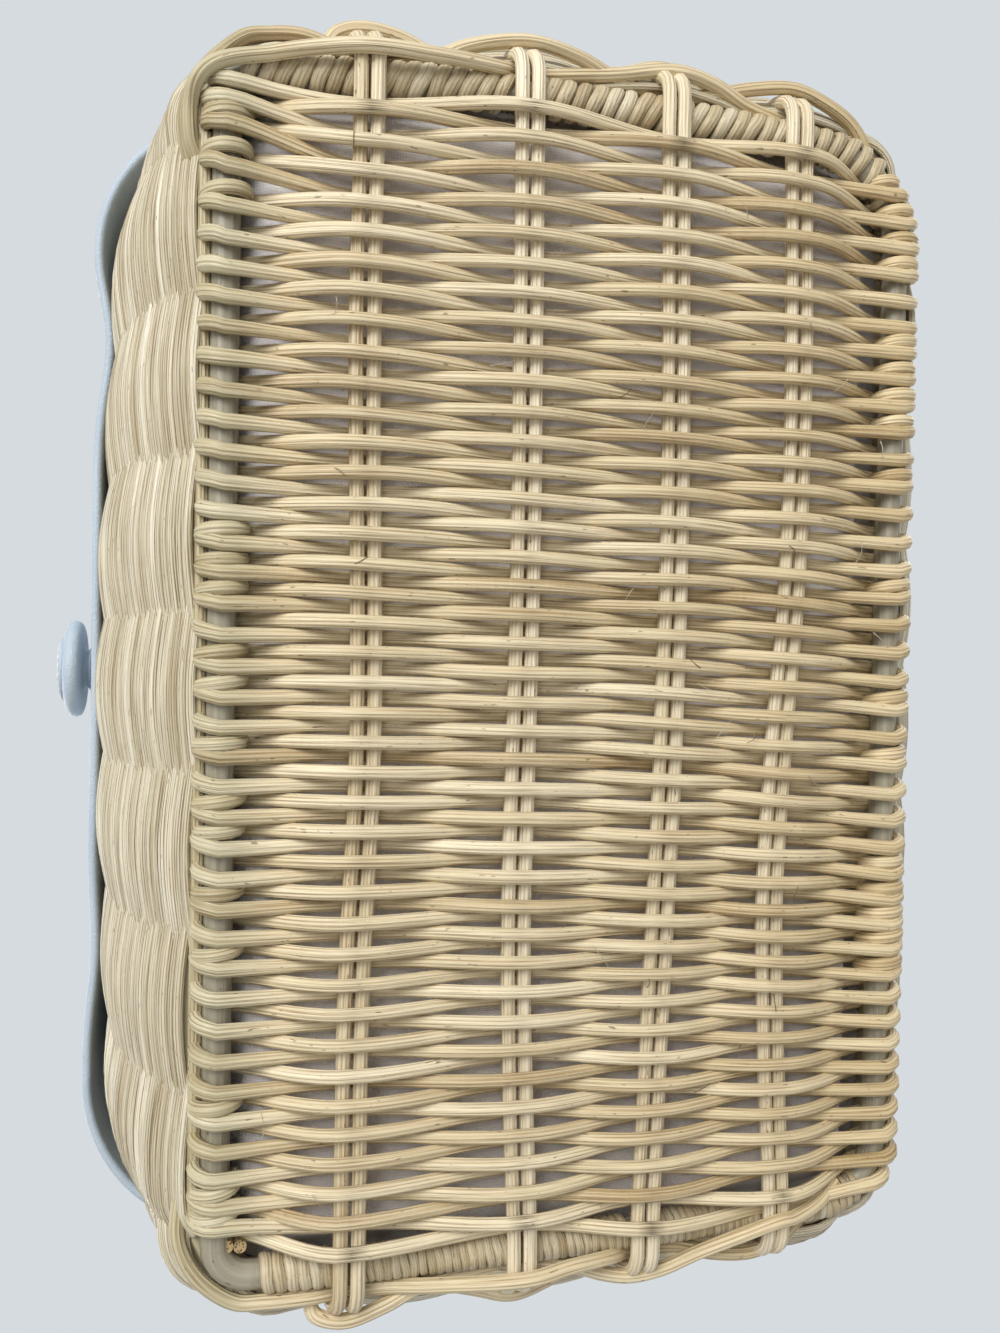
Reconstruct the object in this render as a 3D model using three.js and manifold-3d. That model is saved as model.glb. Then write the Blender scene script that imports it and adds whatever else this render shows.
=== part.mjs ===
// A rattan basket bag: woven base on a bent pole hoop, flared woven wall, cloth lining, leather lid with a
// deep front flap and a covered button, and a strap ring on a leather tab at each end.
// Millimetres, +Z up. The bag stands on its base at z = 0, and its front (flap and button) faces -Y.
// The origin is under the middle of the whole bag, button included.
import * as THREE from "three";
import { mergeVertices } from "three/addons/utils/BufferGeometryUtils.js";
import Module from "manifold-3d";

const wasm = await Module();
wasm.setup();

// Driving dimensions of the woven base
const baseLength = 236; // between the hoop's end centre lines
const baseWidth = 149; // between the hoop's front and back centre lines
const hoopCornerRadius = 14;
const hoopDiameter = 5.6;
const rodDiameter = 2.5; // weaver
const stakeDiameter = 2.5;
const stakeGap = 0.8; // between the two rods of a pair
const stakePairShares = [0.19, 0.41, 0.64, 0.828]; // pair centres, as shares of the width from the front
const weaveRows = 78;
const weaveEndMargin = 7; // hoop end centre line to the first row
const wornFlat = 0.35; // depth of the flats the base has worn where it stands
const mitreRoom = 1.15; // a rod's corner at a bend stands out this much further than its radius
const clearance = 0.3; // between pieces that touch

// Driving dimensions of the wall
const wallTop = 150;
const wallThickness = 6;
const wallFlare = 20.5; // how far the wall leans out from its foot
const flareHeight = 22; // height over which most of the flare happens
const sideBow = 3; // extra belly in the middle of each side
const rimTaper = 3; // how far the wall comes back in at the rim
const taperStart = 70;
const wallColumns = 29; // columns of weave, one to each stake of the wall
const columnDepth = 2; // hollow between two columns
const columnRise = 16; // height over which the hollows deepen from the wall's foot
const columnReach = 25; // the columns are evenly wide this far out from the hoop's centre line
const columnShift = -3.6; // middle of the front column, along X
const cornerDip = 7.5; // the wall's corners lie this much further in than a round corner would
const dipSpan = 48; // way round from a corner's middle over which the dip fades
const dipStart = 8; // the dip starts this far above the hoop's centre line
const rimWidth = 11.2;
const rimHeight = 9;
const rimChamfer = 2.6;
const rimPlay = 1.4; // rim to the skirt's inner face
const twineDiameter = 2.5;
const twineSwing = 1.9; // how far a twining rod swings in and out between stake pairs

// Driving dimensions of the lining
const liningThickness = 1;
const liningDrop = 4; // wall top to the lining's edge

// Driving dimensions of the lid
const leather = 2.2;
const lidCrown = 3;
const flapDrop = 62; // wall top to the flap's lower edge
const skirtDrop = 3; // wall top to the skirt's edge along the ends
const skirtBend = 11; // lid top to where the skirt hangs straight
const seamInset = 10.9; // lid edge to the seam between top panel and skirt
const flapLean = 2.7; // how far the flap's lower edge stands out past its top
const cornerFullness = 3.5; // extra room of the flap round the front corners
const hingeLength = 184;
const hingeDrop = 41;
const hingeCorner = 9;

// Driving dimensions of the button and the snap
const buttonRise = 13; // flap's lower edge to the button's middle
const buttonDiameter = 26;
const buttonThickness = 4.6;
const buttonStandOff = 1.8;
const shankDiameter = 12;
const patchDiameter = 17.5;
const patchThickness = 1.1;
const postDiameter = 5;
const snapDiameter = 18;
const snapThickness = 1.8;
const snapRecess = 0.6; // the wall's half of the snap sits this far behind the wall's face
const burrDiameter = 10;
const burrThickness = 0.5;

// Driving dimensions of the strap rings
const ringDrop = 22; // wall top to the ring's bar
const ringWire = 3.2;
const ringWidth = 26; // between the wire's middle lines
const ringSide = 5; // straight part of the ring beside its round end
const ringCorner = 3;
const ringTilt = THREE.MathUtils.degToRad(8);
const tabWidth = 19;
const tabDrop = 25;

// Worked out from the above
const hoopRadius = hoopDiameter / 2;
const rodRadius = rodDiameter / 2;
const stakeRadius = stakeDiameter / 2;
const stakeSpacing = stakeDiameter + stakeGap;
const flapLowerEdge = wallTop - flapDrop;
const skirtLowerEdge = wallTop - skirtDrop;
const buttonHeight = flapLowerEdge + buttonRise;
const ringHeight = wallTop - ringDrop;
const rowPitch = (baseLength - 2 * weaveEndMargin) / (weaveRows - 1);
const stakeYs = stakePairShares.map((share) => baseWidth * (share - 0.5));
const edgeSpan = Math.min(stakeYs[0] + baseWidth / 2, baseWidth / 2 - stakeYs[3]); // hoop to the nearest pair
const touch = stakeRadius + rodRadius + clearance;
const hoopRise = stakeRadius + hoopRadius + clearance; // hoop's middle above the stakes' middle
const wrapRadius = hoopRadius + rodRadius + clearance;
const edgeShare = stakeSpacing / 2 / edgeSpan;
const crest = (touch + edgeShare * (wrapRadius + hoopRise)) / (1 - edgeShare);
const stakeZ = crest + rodRadius - wornFlat;
const hoopZ = stakeZ + hoopRise;
const turnTop = THREE.MathUtils.degToRad(70); // where the weaver meets and leaves the hoop's turn
const turnSide = THREE.MathUtils.degToRad(25);
const steepRun = (wrapRadius + hoopRise + crest) / edgeSpan; // slope of the run that comes off the hoop's top
const flatRun = Math.max(wrapRadius - hoopRise + crest, 0) / edgeSpan;
const wrapTop = runHeight(steepRun) + mitreRoom * rodRadius;
const wrapOuter = wrapRadius / Math.cos(turnSide) + mitreRoom * rodRadius;
const wallFoot = (wrapOuter + clearance) / Math.cos(Math.PI / 8); // wall's foot, out from the hoop's middle

const rattan = new THREE.MeshStandardMaterial({ color: 0xcdb88c, roughness: 0.6, metalness: 0 });
const pole = new THREE.MeshStandardMaterial({ color: 0xb9b19a, roughness: 0.45, metalness: 0 });
const paleLeather = new THREE.MeshStandardMaterial({ color: 0xc3ccd9, roughness: 0.5, metalness: 0 });
const cloth = new THREE.MeshStandardMaterial({ color: 0xd9d6d6, roughness: 0.9, metalness: 0 });
const metal = new THREE.MeshStandardMaterial({ color: 0xc9c6bd, roughness: 0.3, metalness: 1 });

const bag = new THREE.Group();
bag.name = "basket_bag";

function addPiece(name, geometry, material) {
  const mesh = new THREE.Mesh(geometry, material);
  mesh.name = name;
  bag.add(mesh);
  return mesh;
}

// Geometry helpers

function signedVolume(vertices, triangles) {
  const [a, b, c] = [new THREE.Vector3(), new THREE.Vector3(), new THREE.Vector3()];
  let total = 0;
  for (let i = 0; i < triangles.length; i += 3) {
    a.fromArray(vertices, 3 * triangles[i]);
    b.fromArray(vertices, 3 * triangles[i + 1]);
    c.fromArray(vertices, 3 * triangles[i + 2]);
    total += a.dot(b.cross(c));
  }
  return total / 6;
}

function closedGeometry(vertices, triangles) {
  const index = triangles.slice();
  if (signedVolume(vertices, index) < 0) index.reverse();
  const geometry = new THREE.BufferGeometry();
  geometry.setAttribute("position", new THREE.Float32BufferAttribute(vertices, 3));
  geometry.setIndex(index);
  geometry.computeVertexNormals();
  return geometry;
}

// Joins rings of points into one closed skin. A loop joins its last ring to its first; otherwise each end is
// capped, by a fan to the ring's middle ("fan") or by cutting the section into triangles (2-D points).
function loft(rings, { loop = false, cap = "fan" } = {}) {
  const count = rings[0].length;
  const vertices = rings.flat().flatMap((p) => [p.x, p.y, p.z]);
  const triangles = [];
  const bands = loop ? rings.length : rings.length - 1;
  for (let i = 0; i < bands; i++) {
    const low = i * count;
    const high = ((i + 1) % rings.length) * count;
    for (let j = 0; j < count; j++) {
      const k = (j + 1) % count;
      triangles.push(low + j, low + k, high + k, low + j, high + k, high + j);
    }
  }
  if (!loop) {
    const last = (rings.length - 1) * count;
    if (cap === "fan") {
      for (const [start, turned] of [[0, true], [last, false]]) {
        const middle = vertices.length / 3;
        const ring = start === 0 ? rings[0] : rings[rings.length - 1];
        const centre = ring.reduce((sum, p) => sum.add(p), new THREE.Vector3()).divideScalar(count);
        vertices.push(centre.x, centre.y, centre.z);
        for (let j = 0; j < count; j++) {
          const k = (j + 1) % count;
          triangles.push(...(turned ? [start + k, start + j, middle] : [start + j, start + k, middle]));
        }
      }
    } else {
      const inner = cap.map(([u, v]) => new THREE.Vector2(u, v));
      const turn = THREE.ShapeUtils.isClockWise(inner) ? -1 : 1;
      for (const [a, b, c] of THREE.ShapeUtils.triangulateShape(inner, [])) {
        const [p, q] = turn > 0 ? [b, c] : [c, b];
        triangles.push(last + a, last + p, last + q, a, q, p);
      }
    }
  }
  return closedGeometry(vertices, triangles);
}

function solid(geometry) {
  const bare = geometry.clone();
  bare.deleteAttribute("normal");
  bare.deleteAttribute("uv");
  const merged = mergeVertices(bare, 1e-3);
  return new wasm.Manifold(
    new wasm.Mesh({
      numProp: 3,
      vertProperties: new Float32Array(merged.attributes.position.array),
      triVerts: new Uint32Array(merged.index.array),
    }),
  );
}

function skin(manifold) {
  const mesh = manifold.getMesh();
  return closedGeometry(Array.from(mesh.vertProperties), Array.from(mesh.triVerts));
}

// A rod along a list of points. across is a direction that is never along the rod.
function rod(points, radius, sides, across, loop = false) {
  const count = points.length;
  const rings = points.map((p, i) => {
    const before = loop ? points[(i + count - 1) % count] : points[Math.max(i - 1, 0)];
    const after = loop ? points[(i + 1) % count] : points[Math.min(i + 1, count - 1)];
    const back = p.clone().sub(before).normalize();
    const ahead = after.clone().sub(p).normalize();
    const along = back.clone().add(ahead).normalize();
    const side = across.clone().addScaledVector(along, -across.dot(along)).normalize();
    const up = new THREE.Vector3().crossVectors(along, side);
    const bend = back.lengthSq() * ahead.lengthSq() > 0.5 ? back.dot(ahead) : 1;
    const mitre = 1 / Math.sqrt(Math.max((1 + bend) / 2, 0.5));
    return Array.from({ length: sides }, (_, j) => {
      const angle = (2 * Math.PI * (j + 0.5)) / sides - Math.PI / 2;
      return p
        .clone()
        .addScaledVector(side, radius * Math.cos(angle))
        .addScaledVector(up, radius * mitre * Math.sin(angle));
    });
  });
  return loft(rings, { loop });
}

const halfX = baseLength / 2 - hoopCornerRadius;
const halfY = baseWidth / 2 - hoopCornerRadius;
const planSides = [
  { name: "left", centre: [-halfX, 0], normal: Math.PI, half: halfY },
  { name: "front", centre: [0, -halfY], normal: 1.5 * Math.PI, half: halfX },
  { name: "right", centre: [halfX, 0], normal: 0, half: halfY },
  { name: "back", centre: [0, halfY], normal: 0.5 * Math.PI, half: halfX },
];

const cornerArc = (Math.PI / 2) * (hoopCornerRadius + columnReach); // a corner's way round

function dipShare(away) {
  return Math.cos((Math.PI / 2) * Math.min(away / dipSpan, 1)) ** 2;
}

function sideStation({ name, centre, normal, half }, along) {
  const [nx, ny] = [Math.cos(normal), Math.sin(normal)];
  const x = centre[0] + nx * hoopCornerRadius - ny * along;
  const y = centre[1] + ny * hoopCornerRadius + nx * along;
  const bow = Math.cos((Math.PI * along) / (2 * half)) ** 2;
  const dip = dipShare(cornerArc / 2 + half - Math.abs(along));
  return { side: name, share: (along / half + 1) / 2, x, y, nx, ny, bow, dip };
}

function cornerStation({ name, centre, normal, half }, share) {
  const angle = normal + (Math.PI / 2) * share;
  const [nx, ny] = [Math.cos(angle), Math.sin(angle)];
  const x = centre[0] - Math.sin(normal) * half + hoopCornerRadius * nx;
  const y = centre[1] + Math.cos(normal) * half + hoopCornerRadius * ny;
  const dip = dipShare(cornerArc * Math.abs(share - 0.5));
  return { side: name + "_corner", share, x, y, nx, ny, bow: 0, dip };
}

// Stations round the base hoop's centre line, from the back of the left end to the left of the back side
function planStations({ long, short, corner }) {
  const stations = [];
  for (const side of planSides) {
    const steps = side.half === halfX ? long : short;
    for (let i = 0; i <= steps; i++) {
      stations.push(sideStation(side, -side.half + (2 * side.half * i) / steps));
    }
    for (let i = 1; i < corner; i++) stations.push(cornerStation(side, i / corner));
  }
  return stations;
}

// The station at a distance along the way round, measured at columnReach out
function stationAlong(distance) {
  let rest = distance;
  for (const side of planSides) {
    if (rest <= 2 * side.half) return sideStation(side, rest - side.half);
    rest -= 2 * side.half;
    if (rest <= cornerArc) return cornerStation(side, rest / cornerArc);
    rest -= cornerArc;
  }
  return stationAlong(rest);
}

// Three stations to a column of the wall: one in the hollow beside it and one on each shoulder
function columnStations() {
  const columnWidth = (4 * (halfX + halfY) + 4 * cornerArc) / wallColumns;
  const frontMiddle = 2 * halfY + cornerArc + halfX + columnShift;
  const stations = [];
  for (let i = 0; i < 3 * wallColumns; i++) {
    const place = stationAlong(frontMiddle + columnWidth * (i / 3 - 0.5));
    const away = Math.abs(((i % 3) * 2) / 3 - 1); // from the column's middle, 1 in the hollow
    stations.push({ ...place, hollow: 1 - Math.cos((away * Math.PI) / 2) });
  }
  return stations;
}

function bowAt(z) {
  const share = Math.min(Math.max((z - hoopZ) / (wallTop - hoopZ), 0), 1);
  return sideBow * Math.sin(Math.PI * share);
}

// The wall's outer face, out from the hoop's centre line, without the belly of the sides
function wallOuter(z) {
  const flare = wallFlare * (1 - Math.exp(-(z - hoopZ) / flareHeight));
  const taper = rimTaper * Math.max(0, (z - taperStart) / (wallTop - taperStart)) ** 1.5;
  return wallFoot + flare - taper;
}

function dipAt(z) {
  const low = hoopZ + dipStart;
  const share = Math.min(Math.max((z - low) / (wallTop - low), 0), 1);
  return cornerDip * Math.sin(Math.PI * share ** 0.6);
}

// A point at a station, out from the hoop's centre line. belly adds the bow of the wall's sides and the dip
// of its corners.
function stationPoint(station, out, z, belly = true) {
  const reach = out + (belly ? bowAt(z) * station.bow - dipAt(z) * station.dip : 0);
  return new THREE.Vector3(station.x + station.nx * reach, station.y + station.ny * reach, z);
}

function sweepRound(stations, section, belly) {
  return loft(stations.map((s) => section.map(([out, z]) => stationPoint(s, out, z, belly))), { loop: true });
}

function circleSection(out, z, radius, sides) {
  return Array.from({ length: sides }, (_, i) => {
    const angle = (2 * Math.PI * (i + 0.5)) / sides;
    return [out + radius * Math.cos(angle), z + radius * Math.sin(angle)];
  });
}

function disc(profile, segments) {
  return new THREE.LatheGeometry(profile.map(([r, h]) => new THREE.Vector2(r, h)), segments);
}

// Base: hoop, paired stakes, one long weaver that runs to and fro, and the twining rods at both ends

const coarsePlan = planStations({ long: 4, short: 3, corner: 6 });
addPiece("base_hoop", sweepRound(coarsePlan, circleSection(0, hoopZ, hoopRadius, 6), false), pole);

const frontLine = -baseWidth / 2;
const twineLine = baseLength / 2 + hoopRadius + twineDiameter / 2 + 3 * clearance; // between the twining rods
const stakeTurn = twineLine + twineDiameter / 2; // where a stake starts to turn up into the end wall
const stakeTurnRadius = 5;
const stakeTurnAngle = THREE.MathUtils.degToRad(72);
const stakeTip = 2.5; // straight end of a stake after its turn

function stakePath(y) {
  const half = [];
  for (let i = 0; i <= 3; i++) {
    const angle = (stakeTurnAngle * i) / 3;
    const x = stakeTurn + stakeTurnRadius * Math.sin(angle);
    half.push(new THREE.Vector3(x, y, stakeZ + stakeTurnRadius * (1 - Math.cos(angle))));
  }
  const tip = new THREE.Vector3(Math.cos(stakeTurnAngle), 0, Math.sin(stakeTurnAngle));
  half.push(half[3].clone().addScaledVector(tip, stakeTip));
  const mirrored = half.map((p) => new THREE.Vector3(-p.x, p.y, p.z)).reverse();
  return [...mirrored, ...half];
}

stakeYs.forEach((middle, pair) => {
  for (const [letter, side] of [["a", -1], ["b", 1]]) {
    const path = stakePath(middle + (side * stakeSpacing) / 2);
    const stake = rod(path, stakeRadius, 6, new THREE.Vector3(0, 1, 0));
    addPiece(`base_stake_${pair + 1}${letter}`, stake, rattan);
  }
});

// Height over the hoop's middle at which a run of this slope leaves the turn and still clears the hoop
function runHeight(slope) {
  return wrapRadius * Math.hypot(1, slope) + (slope * wrapRadius) / Math.tan(turnTop);
}

// Distance of the hoop's middle from the bag's long axis, which falls off round the corners
function hoopReach(x) {
  const past = Math.max(Math.abs(x) - baseLength / 2 + hoopCornerRadius, 0);
  return baseWidth / 2 - hoopCornerRadius + Math.sqrt(hoopCornerRadius ** 2 - past ** 2);
}

// One turn round the hoop from above to below. outward is -1 at the front and 1 at the back.
function hoopTurn(outward, x, nextX) {
  const side = wrapRadius / Math.cos(turnSide);
  const corners = [
    [wrapRadius / Math.tan(turnTop), runHeight(steepRun)],
    [side * Math.cos(turnSide), side * Math.sin(turnSide)],
    [side * Math.cos(turnSide), -side * Math.sin(turnSide)],
    [wrapRadius / Math.tan(turnTop), -runHeight(flatRun)],
  ];
  return corners.map(([out, rise], i) => {
    const turnX = x + ((nextX - x) * (i + 0.5)) / corners.length;
    return new THREE.Vector3(turnX, outward * (hoopReach(turnX) + out), hoopZ + rise);
  });
}

function weaverPath() {
  const firstX = baseLength / 2 - weaveEndMargin;
  const points = [new THREE.Vector3(firstX, -hoopReach(firstX), hoopZ - runHeight(flatRun))];
  for (let row = 0; row < weaveRows; row++) {
    const x = firstX - row * rowPitch;
    const forward = row % 2 === 0; // front to back
    const order = forward ? [0, 1, 2, 3] : [3, 2, 1, 0];
    for (const warp of order) {
      const below = (warp + 1 + row) % 2 === 0;
      points.push(new THREE.Vector3(x, stakeYs[warp], stakeZ + (below ? -crest : crest)));
    }
    if (row < weaveRows - 1) points.push(...hoopTurn(forward ? 1 : -1, x, x - rowPitch));
  }
  const lastX = firstX - (weaveRows - 1) * rowPitch;
  const lastSide = weaveRows % 2 === 0 ? -1 : 1;
  points.push(new THREE.Vector3(lastX, lastSide * hoopReach(lastX), hoopZ + runHeight(steepRun)));
  return points;
}

const weaver = solid(rod(weaverPath(), rodRadius, 5, new THREE.Vector3(1, 0, 0)));
const ground = new THREE.BoxGeometry(2 * baseLength, 2 * baseWidth, 20).translate(0, 0, -10);
addPiece("base_weave", skin(weaver.subtract(solid(ground))), rattan);

// Twining rods: two rods turn round each other, one passing below a stake pair while the other passes above
function twinePath(end, firstTurn) {
  const reach = stakeRadius + twineDiameter / 2 + clearance;
  const lastY = baseWidth / 2 - hoopCornerRadius / 2;
  const knots = [-lastY, ...stakeYs, lastY];
  const steps = 4;
  const points = [];
  for (let i = 0; i <= steps * (knots.length - 1); i++) {
    const knot = Math.min(Math.floor(i / steps), knots.length - 2);
    const y = THREE.MathUtils.lerp(knots[knot], knots[knot + 1], i / steps - knot);
    const turn = firstTurn + (Math.PI * i) / steps;
    const x = end * (twineLine + twineSwing * Math.cos(turn));
    points.push(new THREE.Vector3(x, y, stakeZ + reach * Math.sin(turn)));
  }
  return points;
}

for (const [side, end] of [["right", 1], ["left", -1]]) {
  for (const [letter, firstTurn] of [["a", Math.PI / 2], ["b", -Math.PI / 2]]) {
    const path = twinePath(end, firstTurn);
    const twine = rod(path, twineDiameter / 2, 6, new THREE.Vector3(1, 0, 0));
    addPiece(`end_twine_${side}_${letter}`, twine, rattan);
  }
}

// Wall, rim and lining

const wallPlan = planStations({ long: 6, short: 4, corner: 4 });
const wallLevels = [0, 5, 11, 19, 31, 48, 70, 96, 122].map((rise) => hoopZ + rise).concat(wallTop);

function wallInner(z) {
  const slope = wallOuter(z + 0.5) - wallOuter(z - 0.5);
  return wallOuter(z) - wallThickness * Math.hypot(1, slope);
}

const innerFoot = hoopZ + wrapTop + clearance; // the wall's inner face starts above the weaver's turns
const footInside = 0.45 * wallFoot; // inner end of the wall's foot
const wallSection = [
  ...wallLevels.map((z) => [wallOuter(z), z]),
  ...wallLevels.filter((z) => z > innerFoot + 2).reverse().map((z) => [wallInner(z), z]),
  [footInside, innerFoot],
  [0.75 * wallFoot, hoopZ + 0.72 * wallFoot],
];

function wallRing(station) {
  return wallSection.map(([out, z], i) => {
    const outside = i < wallLevels.length;
    const depth = outside ? columnDepth * station.hollow * Math.min((z - hoopZ) / columnRise, 1) : 0;
    return stationPoint(station, out - depth, z);
  });
}

const wall = solid(loft(columnStations().map(wallRing), { loop: true }));
const snapFace = frontLine - wallOuter(buttonHeight) - bowAt(buttonHeight); // wall's face behind the button
const pocketRadius = snapDiameter / 2 + clearance;
const snapPocket = disc([[0, 0], [pocketRadius, 0], [pocketRadius, 20], [0, 20]], 20)
  .rotateX(Math.PI)
  .translate(0, snapFace + snapRecess + snapThickness + clearance, buttonHeight);
addPiece("wall_weave", skin(wall.subtract(solid(snapPocket))), rattan);

const rimMiddle = wallOuter(wallTop) - wallThickness / 2;
const rimLow = wallTop + clearance;
const rimTop = rimLow + rimHeight;
const rimSection = [
  [rimMiddle + rimWidth / 2, rimLow + rimChamfer],
  [rimMiddle + rimWidth / 2, rimTop - rimChamfer],
  [rimMiddle + rimWidth / 2 - rimChamfer, rimTop],
  [rimMiddle - rimWidth / 2 + rimChamfer, rimTop],
  [rimMiddle - rimWidth / 2, rimTop - rimChamfer],
  [rimMiddle - rimWidth / 2, rimLow + rimChamfer],
  [rimMiddle - rimWidth / 2 + rimChamfer, rimLow],
  [rimMiddle + rimWidth / 2 - rimChamfer, rimLow],
];
addPiece("rim_border", sweepRound(wallPlan, rimSection, true), rattan);

// The lining is a cloth pouch: flat floor on the weave, up over the hoop's turns, then up the wall
const liningFloor = stakeZ + crest + rodRadius + clearance;
const liningStep = innerFoot + clearance;
const liningShoulder = wrapRadius / 4; // the lining comes over the weaver's turns here, inside the hoop
const liningSlope = liningShoulder + (liningStep - liningFloor) / (0.95 * steepRun);
const liningTop = wallTop - liningDrop;
const liningFoot = footInside - clearance;
const liningLevels = wallLevels
  .filter((z) => z > innerFoot + 2 && z < liningTop - 5)
  .filter((_, i) => i % 2 === 0)
  .concat(liningTop);
const pouchOutside = [
  [-liningSlope, liningFloor],
  [-liningShoulder, liningStep],
  [liningFoot, liningStep],
  ...liningLevels.map((z) => [wallInner(z) - 2 * clearance, z]),
];
const pouchInside = [
  ...liningLevels.slice().reverse().map((z) => [wallInner(z) - 2 * clearance - liningThickness, z]),
  [liningFoot - 0.6 * liningThickness, liningStep + liningThickness],
  [-liningShoulder - 0.4 * liningThickness, liningStep + liningThickness],
  [-liningSlope - 0.4 * liningThickness, liningFloor + liningThickness],
];
const pouchRings = [...pouchOutside, ...pouchInside].map(([out, z]) =>
  wallPlan.map((s) => stationPoint(s, out, z)),
);
addPiece("lining", loft(pouchRings), cloth);

// Lid: top panel, skirt with the deep front flap, and the leather hinge on the back

const lidLow = rimTop + clearance;
const lidTop = lidLow + leather;
const skirtInner = rimMiddle + rimWidth / 2 + rimPlay; // skirt's inner face beside the rim
const lidReach = skirtInner + leather; // skirt's outer face beside the rim
const hingeFoot = lidLow - hingeDrop;
const hingeInner = Math.max(skirtInner, wallOuter(hingeFoot) + bowAt(hingeFoot) + 2 * clearance);
const hingeOuter = hingeInner + leather;
const seamOut = lidReach - seamInset;
const lidPlan = planStations({ long: 4, short: 9, corner: 5 });

// How deep the skirt is at a station: full depth along the front, shallow along the ends
function flapShare(station) {
  const rise = (share) => 1 - THREE.MathUtils.smoothstep(share, 0.04, 0.34);
  if (station.side === "left") return rise(1 - station.share);
  if (station.side === "right") return rise(station.share);
  return 1;
}

function skirtSection(station) {
  const share = flapShare(station);
  const low = THREE.MathUtils.lerp(skirtLowerEdge, flapLowerEdge, share);
  const corner = station.side.endsWith("corner") ? cornerFullness * Math.sin(Math.PI * station.share) : 0;
  const drop = [0.15, 1.5, 4.5, skirtBend];
  const inset = [4.6, 1.5, 0.25, 0];
  const levels = drop.map((d, i) => [lidReach - inset[i], lidTop - d]);
  const lower = [0.34, 0.67, 1].map((part) => {
    const z = THREE.MathUtils.lerp(lidTop - skirtBend, low, part);
    const depth = (lidTop - skirtBend - z) / (lidTop - skirtBend - flapLowerEdge);
    const lean = THREE.MathUtils.smoothstep(depth, 0, 1);
    return [lidReach + (flapLean + corner) * lean, z];
  });
  const outer = [[seamOut, lidTop], ...levels, ...lower];
  const thick = outer.map(([out, z], i) => {
    const before = outer[Math.max(i - 1, 0)];
    const after = outer[Math.min(i + 1, outer.length - 1)];
    const run = Math.hypot(after[0] - before[0], after[1] - before[1]);
    const normal = i === 0 ? [0, -1] : [(after[1] - before[1]) / run, -(after[0] - before[0]) / run];
    return [out + leather * normal[0], z + leather * normal[1]];
  });
  return [...outer, ...thick.reverse()];
}

const skirtStations = lidPlan.filter((s) => !s.side.startsWith("back") && s.side !== "right_corner");
const skirtSections = skirtStations.map(skirtSection);
const skirtRings = skirtStations.map((s, i) =>
  skirtSections[i].map(([out, z]) => stationPoint(s, out, z, false)),
);
const skirt = solid(loft(skirtRings, { cap: skirtSections[0] }));
const boreRadius = postDiameter / 2 + clearance;
const postHole = disc([[0, -30], [boreRadius, -30], [boreRadius, 30], [0, 30]], 14)
  .translate(0, frontLine - lidReach, buttonHeight);
addPiece("lid_skirt", skin(skirt.subtract(solid(postHole))), paleLeather);

// The top panel fills the seam at the front and the ends, and reaches the hinge at the back
function panelOut(station) {
  const inside = seamOut - clearance;
  const widening = (share) => THREE.MathUtils.lerp(inside, hingeOuter, Math.min(1, 2.5 * share));
  if (station.side === "back") return hingeOuter;
  if (station.side === "right_corner") return widening(station.share);
  if (station.side === "back_corner") return widening(1 - station.share);
  return inside;
}

const panelRings = [];
for (const [share, face] of [[0.35, 0], [0.75, 0], [1, 0], [1, 1], [0.75, 1], [0.35, 1]]) {
  const crown = lidCrown * (1 - share * share);
  const z = lidLow + face * leather + crown;
  panelRings.push(lidPlan.map((s) => {
    const edge = stationPoint(s, panelOut(s), z, false);
    return new THREE.Vector3(edge.x * share, edge.y * share, z);
  }));
}
addPiece("lid_top", loft(panelRings), paleLeather);

// The hinge is a strip of leather sewn to the back of the wall, bending where it meets the top panel
function roundedStrip(length, height, corner) {
  const shape = new THREE.Shape();
  shape.moveTo(-length / 2, 0);
  shape.lineTo(-length / 2, -height + corner);
  shape.absarc(-length / 2 + corner, -height + corner, corner, Math.PI, 1.5 * Math.PI);
  shape.absarc(length / 2 - corner, -height + corner, corner, 1.5 * Math.PI, 2 * Math.PI);
  shape.lineTo(length / 2, 0);
  return shape;
}
const hingeShape = roundedStrip(hingeLength, hingeDrop, hingeCorner);
const flatCut = { depth: leather, bevelEnabled: false, curveSegments: 5 };
const hingeStrip = new THREE.ExtrudeGeometry(hingeShape, flatCut)
  .rotateX(Math.PI / 2)
  .translate(0, baseWidth / 2 + hingeOuter, lidLow - clearance);
addPiece("hinge_leather", hingeStrip, paleLeather);

// Button: a covered disc on a shank, riveted through the flap, with a magnetic snap behind it

const flapDepth = (lidTop - skirtBend - buttonHeight) / (lidTop - skirtBend - flapLowerEdge);
const flapOut = lidReach + flapLean * THREE.MathUtils.smoothstep(flapDepth, 0, 1);
const flapFace = frontLine - flapOut - 2 * clearance; // just in front of the flap, behind the button
const buttonRadius = buttonDiameter / 2;
const edgeRound = buttonThickness * 0.42;
const shankRadius = shankDiameter / 2;
const boreDepth = buttonStandOff + buttonThickness / 2;
const capTop = buttonStandOff + buttonThickness;
const capProfile = [
  [0, boreDepth],
  [boreRadius, boreDepth],
  [boreRadius, 0],
  [shankRadius, 0],
  [shankRadius, buttonStandOff],
  [buttonRadius - edgeRound, buttonStandOff],
  [buttonRadius - edgeRound * 0.3, buttonStandOff + edgeRound * 0.3],
  [buttonRadius, buttonStandOff + edgeRound],
  [buttonRadius, capTop - edgeRound],
  [buttonRadius - edgeRound * 0.3, capTop - edgeRound * 0.3],
  [buttonRadius - edgeRound, capTop],
  [0, capTop],
];
const facingFront = (geometry, y) => geometry.rotateZ(Math.PI).translate(0, y, buttonHeight);
addPiece("button_cap", facingFront(disc(capProfile, 20), flapFace), paleLeather);

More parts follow.
